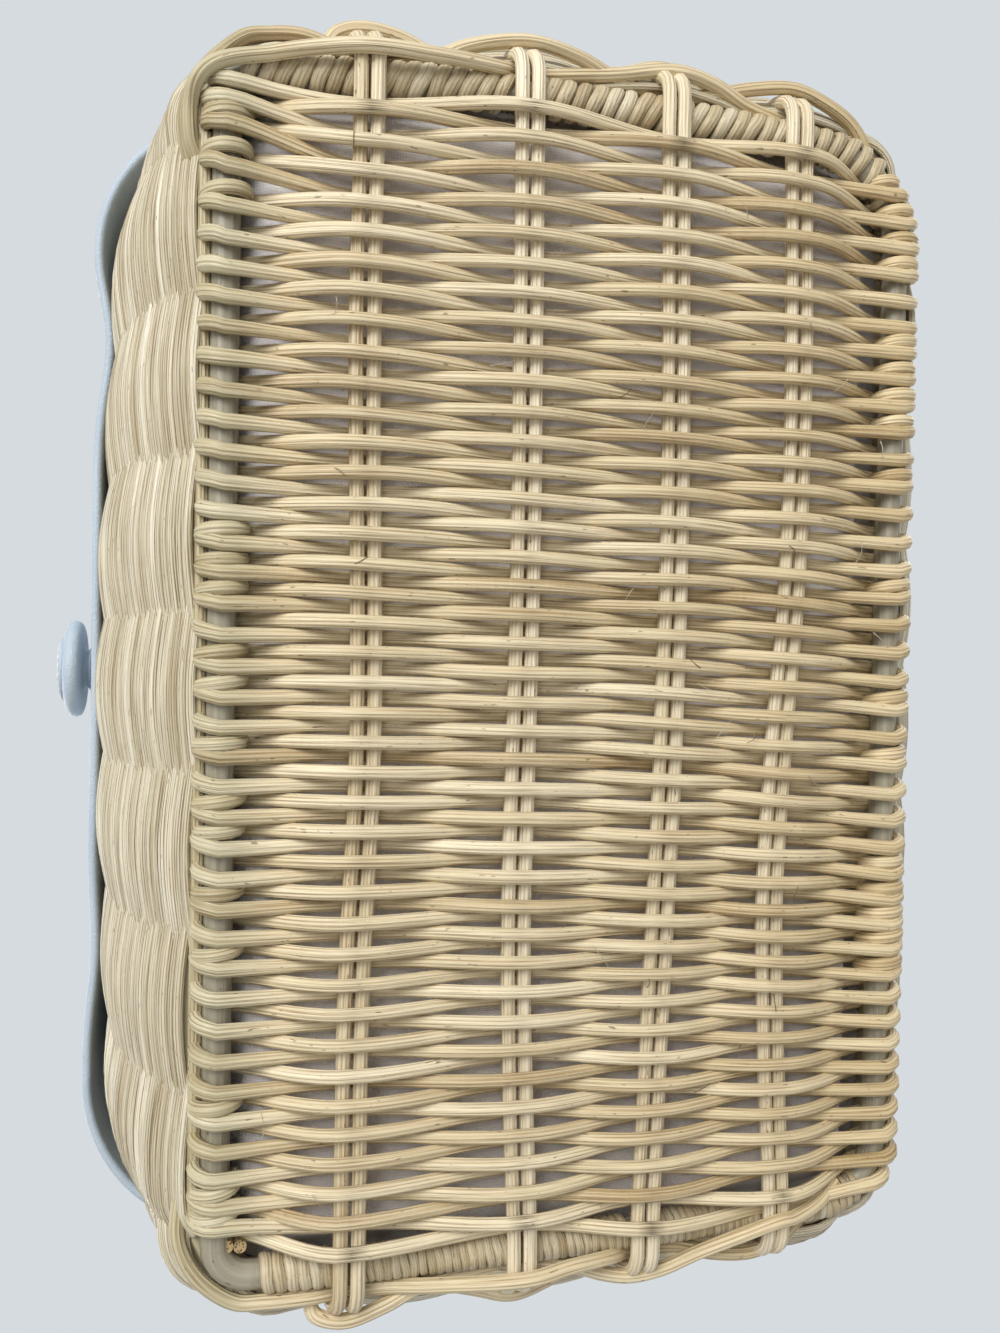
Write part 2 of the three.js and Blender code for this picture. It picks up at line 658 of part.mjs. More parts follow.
const patchRadius = patchDiameter / 2;
const patchProfile = [
  [0, 0],
  [patchRadius, 0],
  [patchRadius, 0.6 * patchThickness],
  [0.7 * patchRadius, patchThickness],
  [0, patchThickness],
];
addPiece("button_patch", facingFront(disc(patchProfile, 20), flapFace - capTop - clearance), paleLeather);

const flapInside = frontLine - flapOut + leather + 1.5 * clearance; // behind the flap
const burrFace = flapInside + burrThickness;
const postEnd = flapFace - boreDepth + clearance;
const postProfile = [
  [0, 0],
  [burrDiameter / 2, 0],
  [burrDiameter / 2, burrThickness],
  [postDiameter / 2, burrThickness],
  [postDiameter / 2, burrFace - postEnd],
  [0, burrFace - postEnd],
];
addPiece("button_post", facingFront(disc(postProfile, 16), burrFace), metal);

const keeperProfile = [[0, 0], [snapDiameter / 2, 0], [snapDiameter / 2, snapThickness], [0, snapThickness]];
addPiece("wall_snap", facingFront(disc(keeperProfile, 20), snapFace + snapRecess + snapThickness), metal);

// Strap rings: a folded leather tab sewn to each end wall holds a wire ring that swings on its bar

const wallEnd = (z) => baseLength / 2 + wallOuter(z) + bowAt(z);
const tabLean = Math.atan((wallEnd(ringHeight - tabDrop) - wallEnd(ringHeight)) / tabDrop);
const wireRadius = ringWire / 2;
const loopInner = wireRadius + clearance;
const loopOuter = loopInner + leather;
const tabGap = 2.5 * clearance;

function tabShape() {
  const outline = new THREE.Shape();
  const faceTurn = Math.acos(Math.min((2 * leather - loopOuter) / loopOuter, 1));
  outline.moveTo(0, -tabDrop);
  outline.lineTo(0, 0);
  outline.absarc(loopOuter, 0, loopOuter, Math.PI, -faceTurn, true);
  outline.lineTo(2 * leather, -tabDrop);
  const hole = new THREE.Path();
  hole.absarc(loopOuter, 0, loopInner, 0, 2 * Math.PI);
  outline.holes.push(hole);
  return outline;
}

const tabCut = { depth: tabWidth, bevelEnabled: false, curveSegments: 8 };
const tabBlank = new THREE.ExtrudeGeometry(tabShape(), tabCut)
  .rotateX(Math.PI / 2)
  .translate(0, tabWidth / 2, 0);
const tabFront = roundedStrip(tabWidth, tabDrop + loopOuter + 1, tabWidth * 0.42);
const trimCut = { depth: 30, bevelEnabled: false, curveSegments: 5 };
const tabTrim = new THREE.ExtrudeGeometry(tabFront, trimCut)
  .rotateX(Math.PI / 2)
  .rotateZ(Math.PI / 2)
  .translate(-10, 0, loopOuter + 1);
const tab = skin(solid(tabBlank).intersect(solid(tabTrim)));

function ringPoints() {
  const half = ringWidth / 2;
  const corner = ringCorner;
  const cut = 0.3 * corner;
  const loop = [[-half + corner, 0], [half - corner, 0], [half - cut, -cut], [half, -corner]];
  for (let i = 0; i <= 8; i++) {
    const angle = (Math.PI * i) / 8;
    loop.push([half * Math.cos(angle), -corner - ringSide - half * Math.sin(angle)]);
  }
  loop.push([-half, -corner], [-half + cut, -cut]);
  return loop.map(([y, z]) => new THREE.Vector3(0, y, z));
}

const ring = rod(ringPoints(), wireRadius, 6, new THREE.Vector3(1, 0, 0), true);
for (const [side, end] of [["right", 1], ["left", -1]]) {
  const place = (geometry) => {
    const tabFoot = wallEnd(ringHeight) + tabGap;
    const turned = geometry.rotateY(-tabLean).translate(tabFoot, 0, ringHeight);
    return end > 0 ? turned : turned.rotateZ(Math.PI);
  };
  addPiece(`strap_tab_${side}`, place(tab.clone()), paleLeather);
  addPiece(`strap_ring_${side}`, place(ring.clone().rotateY(-ringTilt).translate(loopOuter, 0, 0)), metal);
}

// The base was drawn round the origin; the whole bag is moved so that its own middle is there instead
const frontReach = -(flapFace - capTop - clearance - patchThickness);
const backReach = baseWidth / 2 + hingeOuter;
for (const piece of bag.children) piece.geometry.translate(0, (frontReach - backReach) / 2, 0);

export default bag;
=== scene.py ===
import math
import random

import bpy
import numpy as np
from mathutils import Matrix, Vector, noise


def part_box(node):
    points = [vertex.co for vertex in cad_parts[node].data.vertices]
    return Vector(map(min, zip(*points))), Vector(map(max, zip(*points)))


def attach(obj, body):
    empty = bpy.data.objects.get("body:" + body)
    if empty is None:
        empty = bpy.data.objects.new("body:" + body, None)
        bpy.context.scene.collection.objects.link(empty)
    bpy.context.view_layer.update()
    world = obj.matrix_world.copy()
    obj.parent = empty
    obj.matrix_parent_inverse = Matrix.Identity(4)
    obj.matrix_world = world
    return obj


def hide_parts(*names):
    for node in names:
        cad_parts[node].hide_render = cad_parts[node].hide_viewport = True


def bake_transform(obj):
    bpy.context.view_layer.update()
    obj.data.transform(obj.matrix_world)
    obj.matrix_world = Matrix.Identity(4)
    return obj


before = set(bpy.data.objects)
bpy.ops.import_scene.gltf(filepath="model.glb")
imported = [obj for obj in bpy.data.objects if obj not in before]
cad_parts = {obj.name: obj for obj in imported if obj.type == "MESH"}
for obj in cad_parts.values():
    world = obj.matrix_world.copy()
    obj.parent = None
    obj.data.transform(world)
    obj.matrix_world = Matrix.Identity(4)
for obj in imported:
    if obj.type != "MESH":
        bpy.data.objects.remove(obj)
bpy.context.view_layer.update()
mm = 0.001

# the bag's main sizes in millimetres, the same as the CAD model's
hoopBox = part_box("base_hoop")
bag = {
    "halfLength": 118.0, "halfWidth": 74.5, "corner": 14.0,  # hoop's centre line
    "middleY": (hoopBox[0].y + hoopBox[1].y) / 2 / mm,
    "hoopZ": 8.841, "hoopRadius": 2.8, "stakeZ": 4.05,
    "pairShares": (0.19, 0.41, 0.64, 0.828), "pairHalf": 1.75,  # stake pairs across the width
    "wallTop": 150.0, "wallFoot": 7.08, "wallFlare": 20.5, "flareHeight": 22.0,
    "sideBow": 3.0, "rimTaper": 3.0, "taperStart": 70.0, "taperPower": 1.5, "wallThickness": 6.0,
    "columnReach": 25.0,  # how far out from the hoop the wall's columns are spaced
    "cornerDip": 7.5, "dipSpan": 48.0, "dipStart": 8.0, "dipPower": 0.6,  # corners flatter than round
    "backTuck": 2.8, "tuckRise": (6.5, 10.0), "tuckFall": (15.0, 31.0),
    "lidLow": 159.6, "lidTop": 161.8, "lidReach": 30.74, "seamOut": 19.84, "seamGap": 0.25, "leather": 2.2,
}
middleY, hoopZ, stakeZ = bag["middleY"], bag["hoopZ"], bag["stakeZ"]
halfLength, halfWidth, hoopRadius = bag["halfLength"], bag["halfWidth"], bag["hoopRadius"]
flatX, flatY = halfLength - bag["corner"], halfWidth - bag["corner"]
frontY, backY = middleY - halfWidth, middleY + halfWidth
pairs = [frontY + 2 * halfWidth * share for share in bag["pairShares"]]


def newObject(name, data):
    obj = bpy.data.objects.new(name, data)
    bpy.context.collection.objects.link(obj)
    return obj


# camera under the bag, as the photograph was taken
photoCamera = {"place": (2.0, frontY, -202.9), "tilt": 14.88, "roll": 0.68, "lens": 37.8, "sensor": 36.0,
               "nearest": 0.005}


def setCamera(spec):
    tilt, roll = math.radians(spec["tilt"]), math.radians(spec["roll"])
    ahead = Vector((0, math.sin(tilt), math.cos(tilt)))
    level = Vector((0, math.cos(tilt), -math.sin(tilt)))
    length = Vector((1, 0, 0))
    right = level * math.cos(roll) + length * math.sin(roll)
    up = length * math.cos(roll) - level * math.sin(roll)
    data = bpy.data.cameras.new("photoCamera")
    data.sensor_fit = "HORIZONTAL"
    data.sensor_width = spec["sensor"]
    data.lens = spec["lens"]
    data.clip_start = spec["nearest"]
    camera = newObject("photoCamera", data)
    turn = Matrix((right, up, -ahead)).transposed().to_4x4()
    camera.matrix_world = Matrix.Translation(Vector(spec["place"]) * mm) @ turn
    bpy.context.scene.camera = camera


setCamera(photoCamera)
print("camera set")


# node helpers: an input is a value or a socket of another node
def feed(tree, node, inputs):
    for key, value in inputs.items():
        if isinstance(value, bpy.types.NodeSocket):
            tree.links.new(value, node.inputs[key])
        else:
            node.inputs[key].default_value = value


def addNode(tree, kind, inputs=None, **settings):
    node = tree.nodes.new(kind)
    for key, value in settings.items():
        setattr(node, key, value)
    feed(tree, node, inputs or {})
    return node


def maths(tree, operation, first, second=0.0, clamp=False):
    inputs = {0: first, 1: second}
    return addNode(tree, "ShaderNodeMath", inputs, operation=operation, use_clamp=clamp).outputs[0]


def times(tree, first, second):
    return maths(tree, "MULTIPLY", first, second)


def plus(tree, first, second):
    return maths(tree, "ADD", first, second)


def blendColour(tree, share, first, second, kind="MIX"):
    inputs = {0: share, 6: first, 7: second}
    return addNode(tree, "ShaderNodeMix", inputs, data_type="RGBA", blend_type=kind).outputs[2]


def ramp(tree, value, low, high, toLow=0.0, toHigh=1.0):
    inputs = {"Value": value, "From Min": low, "From Max": high, "To Min": toLow, "To Max": toHigh}
    return addNode(tree, "ShaderNodeMapRange", inputs, interpolation_type="SMOOTHSTEP").outputs["Result"]


def noiseOf(tree, place, scale, detail, rough=0.5, output="Fac", kind="FBM"):
    inputs = {"Vector": place, "Scale": scale, "Detail": detail, "Roughness": rough}
    return addNode(tree, "ShaderNodeTexNoise", inputs, noise_type=kind).outputs[output]


def moveOn(tree, vector, stretch, offset):
    inputs = {0: vector, 1: stretch, 2: offset}
    return addNode(tree, "ShaderNodeVectorMath", inputs, operation="MULTIPLY_ADD").outputs[0]


def objectPlace(tree):
    return addNode(tree, "ShaderNodeTexCoord").outputs["Object"]


def tint(red, green, blue):
    def linear(level):
        share = level / 255
        return share / 12.92 if share <= 0.04045 else ((share + 0.055) / 1.055) ** 2.4
    return (linear(red), linear(green), linear(blue), 1.0)


def newTree(name, kind, inputs, outputs):
    tree = bpy.data.node_groups.new(name, kind)
    for way, sockets in (("INPUT", inputs), ("OUTPUT", outputs)):
        for label, sort in sockets.items():
            tree.interface.new_socket(label, in_out=way, socket_type="NodeSocket" + sort)
    return tree, tree.nodes.new("NodeGroupInput").outputs, tree.nodes.new("NodeGroupOutput")


def newMaterial(name):
    material = bpy.data.materials.new(name)
    material.use_nodes = True
    return material, material.node_tree, material.node_tree.nodes["Principled BSDF"]


def useGroup(tree, group, inputs):
    return addNode(tree, "ShaderNodeGroup", inputs, node_tree=group).outputs


def addBump(tree, shader, height, strength, depth):
    bump = addNode(tree, "ShaderNodeBump", {"Strength": strength, "Distance": depth, "Height": height})
    feed(tree, shader, {"Normal": bump.outputs["Normal"]})


# cane: long grain, slow changes of tone along a rod, specks, and splits where a rod was bent sharply
# a pattern has its stretch, detail and roughness; a ramp its two ends and, if not 0 and 1, the values there
caneLook = {
    "apart": (31.7, 17.3, 53.1),  # moves the pattern on from rod to rod
    "fibre": ((1.3, 1.3, 22.0), 2.0, 0.55), "fine": ((7.0, 7.0, 70.0), 2.0, 0.6),
    "slow": ((0.5, 0.5, 24.0), 2.0, 0.5), "spots": ((2.4, 2.4, 420.0), 1.0, 0.5),
    "ridges": 9.0, "ridgeWarp": 9.0, "rodTone": 0.62, "slowTone": 0.75,
    "pale": (0.58, 1.05), "deep": (0.60, 0.24), "bright": (-0.2, -0.95, 0.0, 0.32),
    "line": (0.35, 0.98), "broken": (0.36, 0.58), "fleck": (0.56, 0.72, 0.0, 0.42),
    "spot": (0.72, 0.77, 0.0, 0.65), "split": (0.42, 0.56),
    "lineTint": tint(190, 166, 132), "spotTint": tint(92, 70, 46), "splitTint": tint(70, 54, 37),
    "roughness": 0.3, "fineRoughness": 0.24, "ridgeHeight": -0.32, "fineHeight": -0.9, "splitDepth": 0.8,
    "shine": 0.5, "bump": 0.75,
    # handled and back: painted shade, with the front turns darker and greyer (plus some grime from handling)
    # and the base darker towards the back
    "handled": (11, 1), "handledShadeTint": tint(226, 230, 228), "backShadeFrom": 60, "backShadeTint": tint(247, 242, 231),
}


def makeCaneGroup(look):
    group, given, result = newTree(
        "caneGrain", "ShaderNodeTree",
        {"Grain": "Vector", "Seed": "Float", "Wear": "Float", "Pale": "Color", "Middle": "Color",
         "Deep": "Color", "Line strength": "Float"},
        {"Colour": "Color", "Roughness": "Float", "Height": "Float"})
    inputs = {0: look["apart"], 1: given["Seed"]}
    apart = addNode(group, "ShaderNodeVectorMath", inputs, operation="MULTIPLY").outputs[0]

    def pattern(key):
        stretch, detail, rough = look[key]
        return noiseOf(group, moveOn(group, given["Grain"], stretch, apart), 1.0, detail, rough)

    fibre, fine, slow, spots = pattern("fibre"), pattern("fine"), pattern("slow"), pattern("spots")
    around = addNode(group, "ShaderNodeSeparateXYZ", {0: given["Grain"]}).outputs
    turn = maths(group, "ARCTAN2", around["Y"], around["X"])
    warped = plus(group, times(group, turn, look["ridges"]), times(group, fibre, look["ridgeWarp"]))
    ridge = maths(group, "SINE", warped)
    drawn = addNode(group, "ShaderNodeTexWhiteNoise", {"W": given["Seed"]}, noise_dimensions="1D")
    rodTone = times(group, drawn.outputs["Value"], look["rodTone"])
    tone = plus(group, rodTone, times(group, slow, look["slowTone"]))
    colour = blendColour(group, ramp(group, tone, *look["pale"]), given["Middle"], given["Pale"])
    colour = blendColour(group, ramp(group, tone, *look["deep"]), colour, given["Deep"])
    dark = blendColour(group, 1.0, given["Deep"], look["lineTint"], "MULTIPLY")
    lines = times(group, ramp(group, ridge, *look["line"]), ramp(group, fine, *look["broken"]))
    colour = blendColour(group, ramp(group, ridge, *look["bright"]), colour, given["Pale"])
    colour = blendColour(group, times(group, lines, given["Line strength"]), colour, dark)
    colour = blendColour(group, ramp(group, fine, *look["fleck"]), colour, dark)
    colour = blendColour(group, ramp(group, spots, *look["spot"]), colour, look["spotTint"])
    split = maths(group, "MULTIPLY", ramp(group, fine, *look["split"]), given["Wear"], True)
    colour = blendColour(group, split, colour, look["splitTint"])
    rough = plus(group, times(group, fine, look["fineRoughness"]), look["roughness"])
    height = plus(group, times(group, ridge, look["ridgeHeight"]), times(group, fine, look["fineHeight"]))
    height = maths(group, "SUBTRACT", height, times(group, split, look["splitDepth"]))
    feed(group, result, {"Colour": colour, "Roughness": rough, "Height": height})
    return group


caneGroup = makeCaneGroup(caneLook)

# pale, middle and deep tone, strength of the dark lines, depth of the grain in metres
caneTones = {
    "rattan": ((239, 225, 192), (218, 200, 161), (180, 155, 111), 0.55, 0.0003),
    # the stakes' tones are paler than the rattan's: painted light that offsets the shade the weaver rods cast
    # on them
    "rattanStakeLit": ((243, 231, 203), (227, 212, 177), (200, 179, 139), 0.5, 0.0003),
    "rattanWall": ((238, 230, 206), (208, 197, 168), (172, 155, 119), 0.9, 0.0003),
    "rattanWound": ((215, 203, 174), (194, 177, 141), (160, 139, 103), 0.35, 0.0002),
    "darkFibre": ((150, 128, 92), (112, 92, 62), (78, 62, 42), 0.3, 0.0001),
    "hoopPole": ((177, 172, 154), (158, 152, 132), (134, 125, 104), 0.14, 0.00005),
}


def makeCane(name, grimeAndPaintedShade=False):
    pale, middle, deep, lines, grainDepth = caneTones[name]
    material, tree, shader = newMaterial(name)
    grain, seed, wear = (addNode(tree, "ShaderNodeAttribute", attribute_name=layer).outputs
                         for layer in ("grain", "rodSeed", "rodWear"))
    cane = useGroup(tree, caneGroup, {
        "Grain": grain["Vector"], "Seed": seed["Fac"], "Wear": wear["Fac"], "Line strength": lines,
        "Pale": tint(*pale), "Middle": tint(*middle), "Deep": tint(*deep)})
    colour = cane["Colour"]
    if grimeAndPaintedShade:  # painted shade: the turns round the front of the hoop are darker and greyer, partly painted shade and partly grime from handling, and the base is darkened towards the back as painted shade
        across = addNode(tree, "ShaderNodeSeparateXYZ", {0: objectPlace(tree)}).outputs["Y"]
        near = ramp(tree, across, *[(frontY + inside) * mm for inside in caneLook["handled"]])
        colour = blendColour(tree, near, colour, caneLook["handledShadeTint"], "MULTIPLY")
        far = ramp(tree, across, (frontY + caneLook["backShadeFrom"]) * mm, backY * mm)
        colour = blendColour(tree, far, colour, caneLook["backShadeTint"], "MULTIPLY")
    feed(tree, shader, {"Base Color": colour, "Roughness": cane["Roughness"],
                        "Specular IOR Level": caneLook["shine"]})
    addBump(tree, shader, cane["Height"], caneLook["bump"], grainDepth)
    return material


rattan, rattanPale, rattanWall = makeCane("rattan", True), makeCane("rattanStakeLit"), makeCane("rattanWall")
rattanWound, darkFibre, polished = makeCane("rattanWound"), makeCane("darkFibre"), makeCane("hoopPole")

# the porous face of a cut rod
endLook = {"pores": 2000.0, "poreEdge": (0.42, 0.26), "roughness": 0.8, "bump": (0.5, 0.0002)}


def makeCaneEnd(name, main, pore):
    material, tree, shader = newMaterial(name)
    inputs = {"Vector": objectPlace(tree), "Scale": endLook["pores"]}
    cells = addNode(tree, "ShaderNodeTexVoronoi", inputs).outputs["Distance"]
    colour = blendColour(tree, ramp(tree, cells, *endLook["poreEdge"]), main, pore)
    feed(tree, shader, {"Base Color": colour, "Roughness": endLook["roughness"]})
    addBump(tree, shader, cells, *endLook["bump"])
    return material


caneEnd = makeCaneEnd("caneEnd", tint(188, 162, 115), tint(66, 48, 30))

# leather: fine pebble, soft shade changes, paler rubbed areas
leatherLook = {
    "pebbles": 1400.0, "pebbleEdge": (0.0, 0.28), "warp": (260.0, 2.0), "warpBy": (0.0012, 0.0012, 0.0012),
    "cloud": (28.0, 5.0, 0.6), "crease": (55.0, 4.0), "shade": (0.40, 0.66), "rubbed": (0.42, 0.26, 0.0, 0.7),
    "gapShade": 0.22, "roughness": 0.32, "cloudRoughness": 0.25, "gapRoughness": 0.12, "creaseHeight": 0.35,
    "shine": 0.45, "bump": (0.35, 0.00025),
}


def makeLeatherGroup(look):
    group, given, result = newTree(
        "leatherGrain", "ShaderNodeTree",
        {"Place": "Vector", "Pebble size": "Float", "Main": "Color", "Shade": "Color", "Rubbed": "Color"},
        {"Colour": "Color", "Roughness": "Float", "Height": "Float"})
    place = given["Place"]
    bent = moveOn(group, noiseOf(group, place, *look["warp"], output="Color"), look["warpBy"], place)
    inputs = {"Vector": bent, "Scale": maths(group, "DIVIDE", look["pebbles"], given["Pebble size"])}
    cells = addNode(group, "ShaderNodeTexVoronoi", inputs, feature="DISTANCE_TO_EDGE").outputs["Distance"]
    pebble = ramp(group, cells, *look["pebbleEdge"])
    cloud = noiseOf(group, place, *look["cloud"])
    crease = noiseOf(group, place, *look["crease"], kind="RIDGED_MULTIFRACTAL")
    colour = blendColour(group, ramp(group, cloud, *look["shade"]), given["Main"], given["Shade"])
    colour = blendColour(group, ramp(group, cloud, *look["rubbed"]), colour, given["Rubbed"])
    # painted shade: the gaps between the pebbles are darkened towards the shade colour
    gap = maths(group, "SUBTRACT", 1.0, pebble)
    colour = blendColour(group, times(group, gap, look["gapShade"]), colour, given["Shade"], "MULTIPLY")
    rough = plus(group, times(group, cloud, look["cloudRoughness"]), times(group, gap, look["gapRoughness"]))
    feed(group, result, {"Colour": colour, "Roughness": plus(group, rough, look["roughness"]),
                         "Height": plus(group, pebble, times(group, crease, look["creaseHeight"]))})
    return group


leatherGroup = makeLeatherGroup(leatherLook)


def makeLeather(name, main, shade, rubbed, pebble):
    material, tree, shader = newMaterial(name)
    hide = useGroup(tree, leatherGroup, {"Place": objectPlace(tree), "Pebble size": pebble, "Main": main,
                                         "Shade": shade, "Rubbed": rubbed})
    feed(tree, shader, {"Base Color": hide["Colour"], "Roughness": hide["Roughness"],
                        "Specular IOR Level": leatherLook["shine"]})
    addBump(tree, shader, hide["Height"], *leatherLook["bump"])
    return material


leather = makeLeather("paleLeather", tint(190, 203, 214), tint(183, 196, 208), tint(199, 211, 221), 1.0)

# plain woven cloth, and the sewing thread that shares its yarn pattern
yarnLook = {"distortion": 0.6, "detail": 1.0, "slub": (90.0, 4.0), "slubShade": (0.35, 0.68),
            "weaveShade": 0.18, "slubHeight": 0.6, "shine": 0.2, "sheen": 0.15, "bump": 0.4}


def makeYarnGroup(look):
    group, given, result = newTree(
        "yarnWeave", "ShaderNodeTree",
        {"Place": "Vector", "Threads": "Float", "Main": "Color", "Shade": "Color"},
        {"Colour": "Color", "Height": "Float"})
    inputs = {"Vector": given["Place"], "Scale": given["Threads"], "Distortion": look["distortion"],
              "Detail": look["detail"]}
    waves = [addNode(group, "ShaderNodeTexWave", inputs, bands_direction=axis, wave_profile="SIN")
             for axis in ("X", "Y")]
    weave = times(group, *[wave.outputs["Fac"] for wave in waves])
    slub = noiseOf(group, given["Place"], *look["slub"])
    colour = blendColour(group, ramp(group, slub, *look["slubShade"]), given["Main"], given["Shade"])
    colour = blendColour(group, times(group, weave, look["weaveShade"]), colour, given["Shade"])
    height = plus(group, weave, times(group, slub, look["slubHeight"]))
    feed(group, result, {"Colour": colour, "Height": height})
    return group


yarnGroup = makeYarnGroup(yarnLook)


def makeCloth(name, main, shade, threads, rough, bumpDepth):
    material, tree, shader = newMaterial(name)
    yarn = useGroup(tree, yarnGroup, {"Place": objectPlace(tree), "Threads": threads, "Main": main,
                                      "Shade": shade})
    feed(tree, shader, {"Base Color": yarn["Colour"], "Roughness": rough,
                        "Specular IOR Level": yarnLook["shine"], "Sheen Weight": yarnLook["sheen"]})
    addBump(tree, shader, yarn["Height"], yarnLook["bump"], bumpDepth)
    return material


liningCloth = makeCloth("liningCloth", tint(233, 229, 228), tint(221, 216, 215), 520.0, 0.85, 0.0002)
thread = makeCloth("paleThread", tint(240, 240, 238), tint(222, 223, 224), 2600.0, 0.7, 0.0001)

metalLook = {"brushed": (900.0, 3.0), "handled": (120.0, 3.0), "dull": (0.4, 0.7),
             "roughness": (0.3, 0.7, 0.22, 0.38), "bump": (0.12, 0.0001)}


def makeMetal(name, colour, dull):
    material, tree, shader = newMaterial(name)
    place = objectPlace(tree)
    brushed = noiseOf(tree, place, *metalLook["brushed"])
    handled = ramp(tree, noiseOf(tree, place, *metalLook["handled"]), *metalLook["dull"])
    feed(tree, shader, {"Base Color": blendColour(tree, handled, colour, dull), "Metallic": 1.0,
                        "Roughness": ramp(tree, brushed, *metalLook["roughness"])})
    addBump(tree, shader, brushed, *metalLook["bump"])
    return material


satinMetal = makeMetal("satinMetal", tint(205, 202, 194), tint(178, 174, 166))
print("finishes made")


# geometry node helpers, for trees that work along the lines of a mesh
def geometry(tree, kind, inputs, output="Geometry", **settings):
    return addNode(tree, "GeometryNode" + kind, inputs, **settings).outputs[output]


def named(tree, kind, name):
    return geometry(tree, "InputNamedAttribute", {"Name": name}, "Attribute", data_type=kind)


def facedLines(tree, lines):
    inputs = {"Curve": geometry(tree, "MeshToCurve", {"Mesh": lines}, "Curve"),
              "Normal": named(tree, "FLOAT_VECTOR", "rodFace")}
    return geometry(tree, "SetCurveNormal", inputs, "Curve", mode="FREE")


def finishShape(tree, shape, finish):
    shape = geometry(tree, "RealizeInstances", {"Geometry": shape})
    shape = geometry(tree, "SetShadeSmooth", {"Geometry": shape})
    return geometry(tree, "SetMaterial", {"Geometry": shape, "Material": finish})


def vectorOf(tree, x, y, z):
    return addNode(tree, "ShaderNodeCombineXYZ", {"X": x, "Y": y, "Z": z}).outputs[0]


# rods: a round or flat section swept along every line
def makeRodTree():
    tree, given, result = newTree(
        "rodSweep", "GeometryNodeTree",
        {"Lines": "Geometry", "Sides": "Int", "Thickness share": "Float", "Finish": "Material"},
        {"Rods": "Geometry"})

    def store(shape, kind, name, value):
        inputs = {"Geometry": shape, "Name": name, "Value": value}
        return geometry(tree, "StoreNamedAttribute", inputs, data_type=kind, domain="POINT")

    along = addNode(tree, "GeometryNodeSplineParameter").outputs["Length"]
    lines = store(facedLines(tree, given["Lines"]), "FLOAT", "rodAlong", along)
    section = geometry(tree, "CurvePrimitiveCircle", {"Resolution": given["Sides"], "Radius": 1.0}, "Curve")
    position = addNode(tree, "GeometryNodeInputPosition").outputs[0]
    section = store(section, "FLOAT_VECTOR", "rodAround", position)
    squeeze = vectorOf(tree, 1.0, given["Thickness share"], 1.0)
    section = geometry(tree, "Transform", {"Geometry": section, "Scale": squeeze})
    inputs = {"Curve": lines, "Profile Curve": section, "Scale": named(tree, "FLOAT", "rodRadius"),
              "Fill Caps": True}
    rods = geometry(tree, "CurveToMesh", inputs, "Mesh")
    around = addNode(tree, "ShaderNodeSeparateXYZ", {0: named(tree, "FLOAT_VECTOR", "rodAround")}).outputs
    grain = vectorOf(tree, around["X"], around["Y"], named(tree, "FLOAT", "rodAlong"))
    rods = store(rods, "FLOAT_VECTOR", "grain", grain)
    for spent in ("rodAround", "rodAlong", "rodFace", "rodRadius"):
        rods = geometry(tree, "RemoveAttribute", {"Geometry": rods, "Name": spent})
    feed(tree, result, {"Rods": finishShape(tree, rods, given["Finish"])})
    return tree


# stitches: one short thread at each step along a line
def makeStitchTree():
    tree, given, result = newTree(
        "stitchRow", "GeometryNodeTree",
        {"Lines": "Geometry", "Step": "Float", "Length": "Float", "Thread": "Float", "Sink": "Float",
         "Finish": "Material"}, {"Stitches": "Geometry"})
    inputs = {"Curve": facedLines(tree, given["Lines"]), "Length": given["Step"]}
    steps = addNode(tree, "GeometryNodeCurveToPoints", inputs, mode="LENGTH").outputs
    bead = geometry(tree, "MeshUVSphere", {"Segments": 8, "Rings": 6, "Radius": 0.5}, "Mesh")
    size = vectorOf(tree, times(tree, given["Thread"], given["Sink"]), given["Thread"], given["Length"])
    inputs = {"Points": steps["Points"], "Instance": bead, "Rotation": steps["Rotation"], "Scale": size}
    placed = geometry(tree, "InstanceOnPoints", inputs, "Instances")
    feed(tree, result, {"Stitches": finishShape(tree, placed, given["Finish"])})
    return tree


rodTree, stitchTree = makeRodTree(), makeStitchTree()


def bake(obj):
    shape = bpy.data.meshes.new_from_object(obj.evaluated_get(bpy.context.evaluated_depsgraph_get()))
    obj.modifiers.clear()
    spent = obj.data
    obj.data = shape
    shape.name = obj.name
    bpy.data.meshes.remove(spent)
    return obj


def applyTree(obj, tree, values):
    modifier = obj.modifiers.new(tree.name, "NODES")
    modifier.node_group = tree
    sockets = {item.name: item.identifier for item in tree.interface.items_tree if item.in_out == "INPUT"}
    for name, value in values.items():
        modifier[sockets[name]] = value
    return bake(obj)


def unit(rows, least=1e-12):
    return rows / (np.linalg.norm(rows, axis=1)[:, None] + least)


def makeLine(points, radius, seed, across, closed=False, wear=0.0):
    points = np.asarray(points, float)
    run = unit(np.roll(points, -1, 0) - np.roll(points, 1, 0) if closed else np.gradient(points, axis=0))
    face = np.broadcast_to(np.asarray(across, float), points.shape)
    line = {"points": points, "face": unit(face - run * np.sum(face * run, 1)[:, None]), "closed": closed}
    for key, value in (("radius", radius), ("seed", seed), ("wear", wear)):
        line[key] = np.broadcast_to(np.asarray(value, float), (len(points),))
    return line


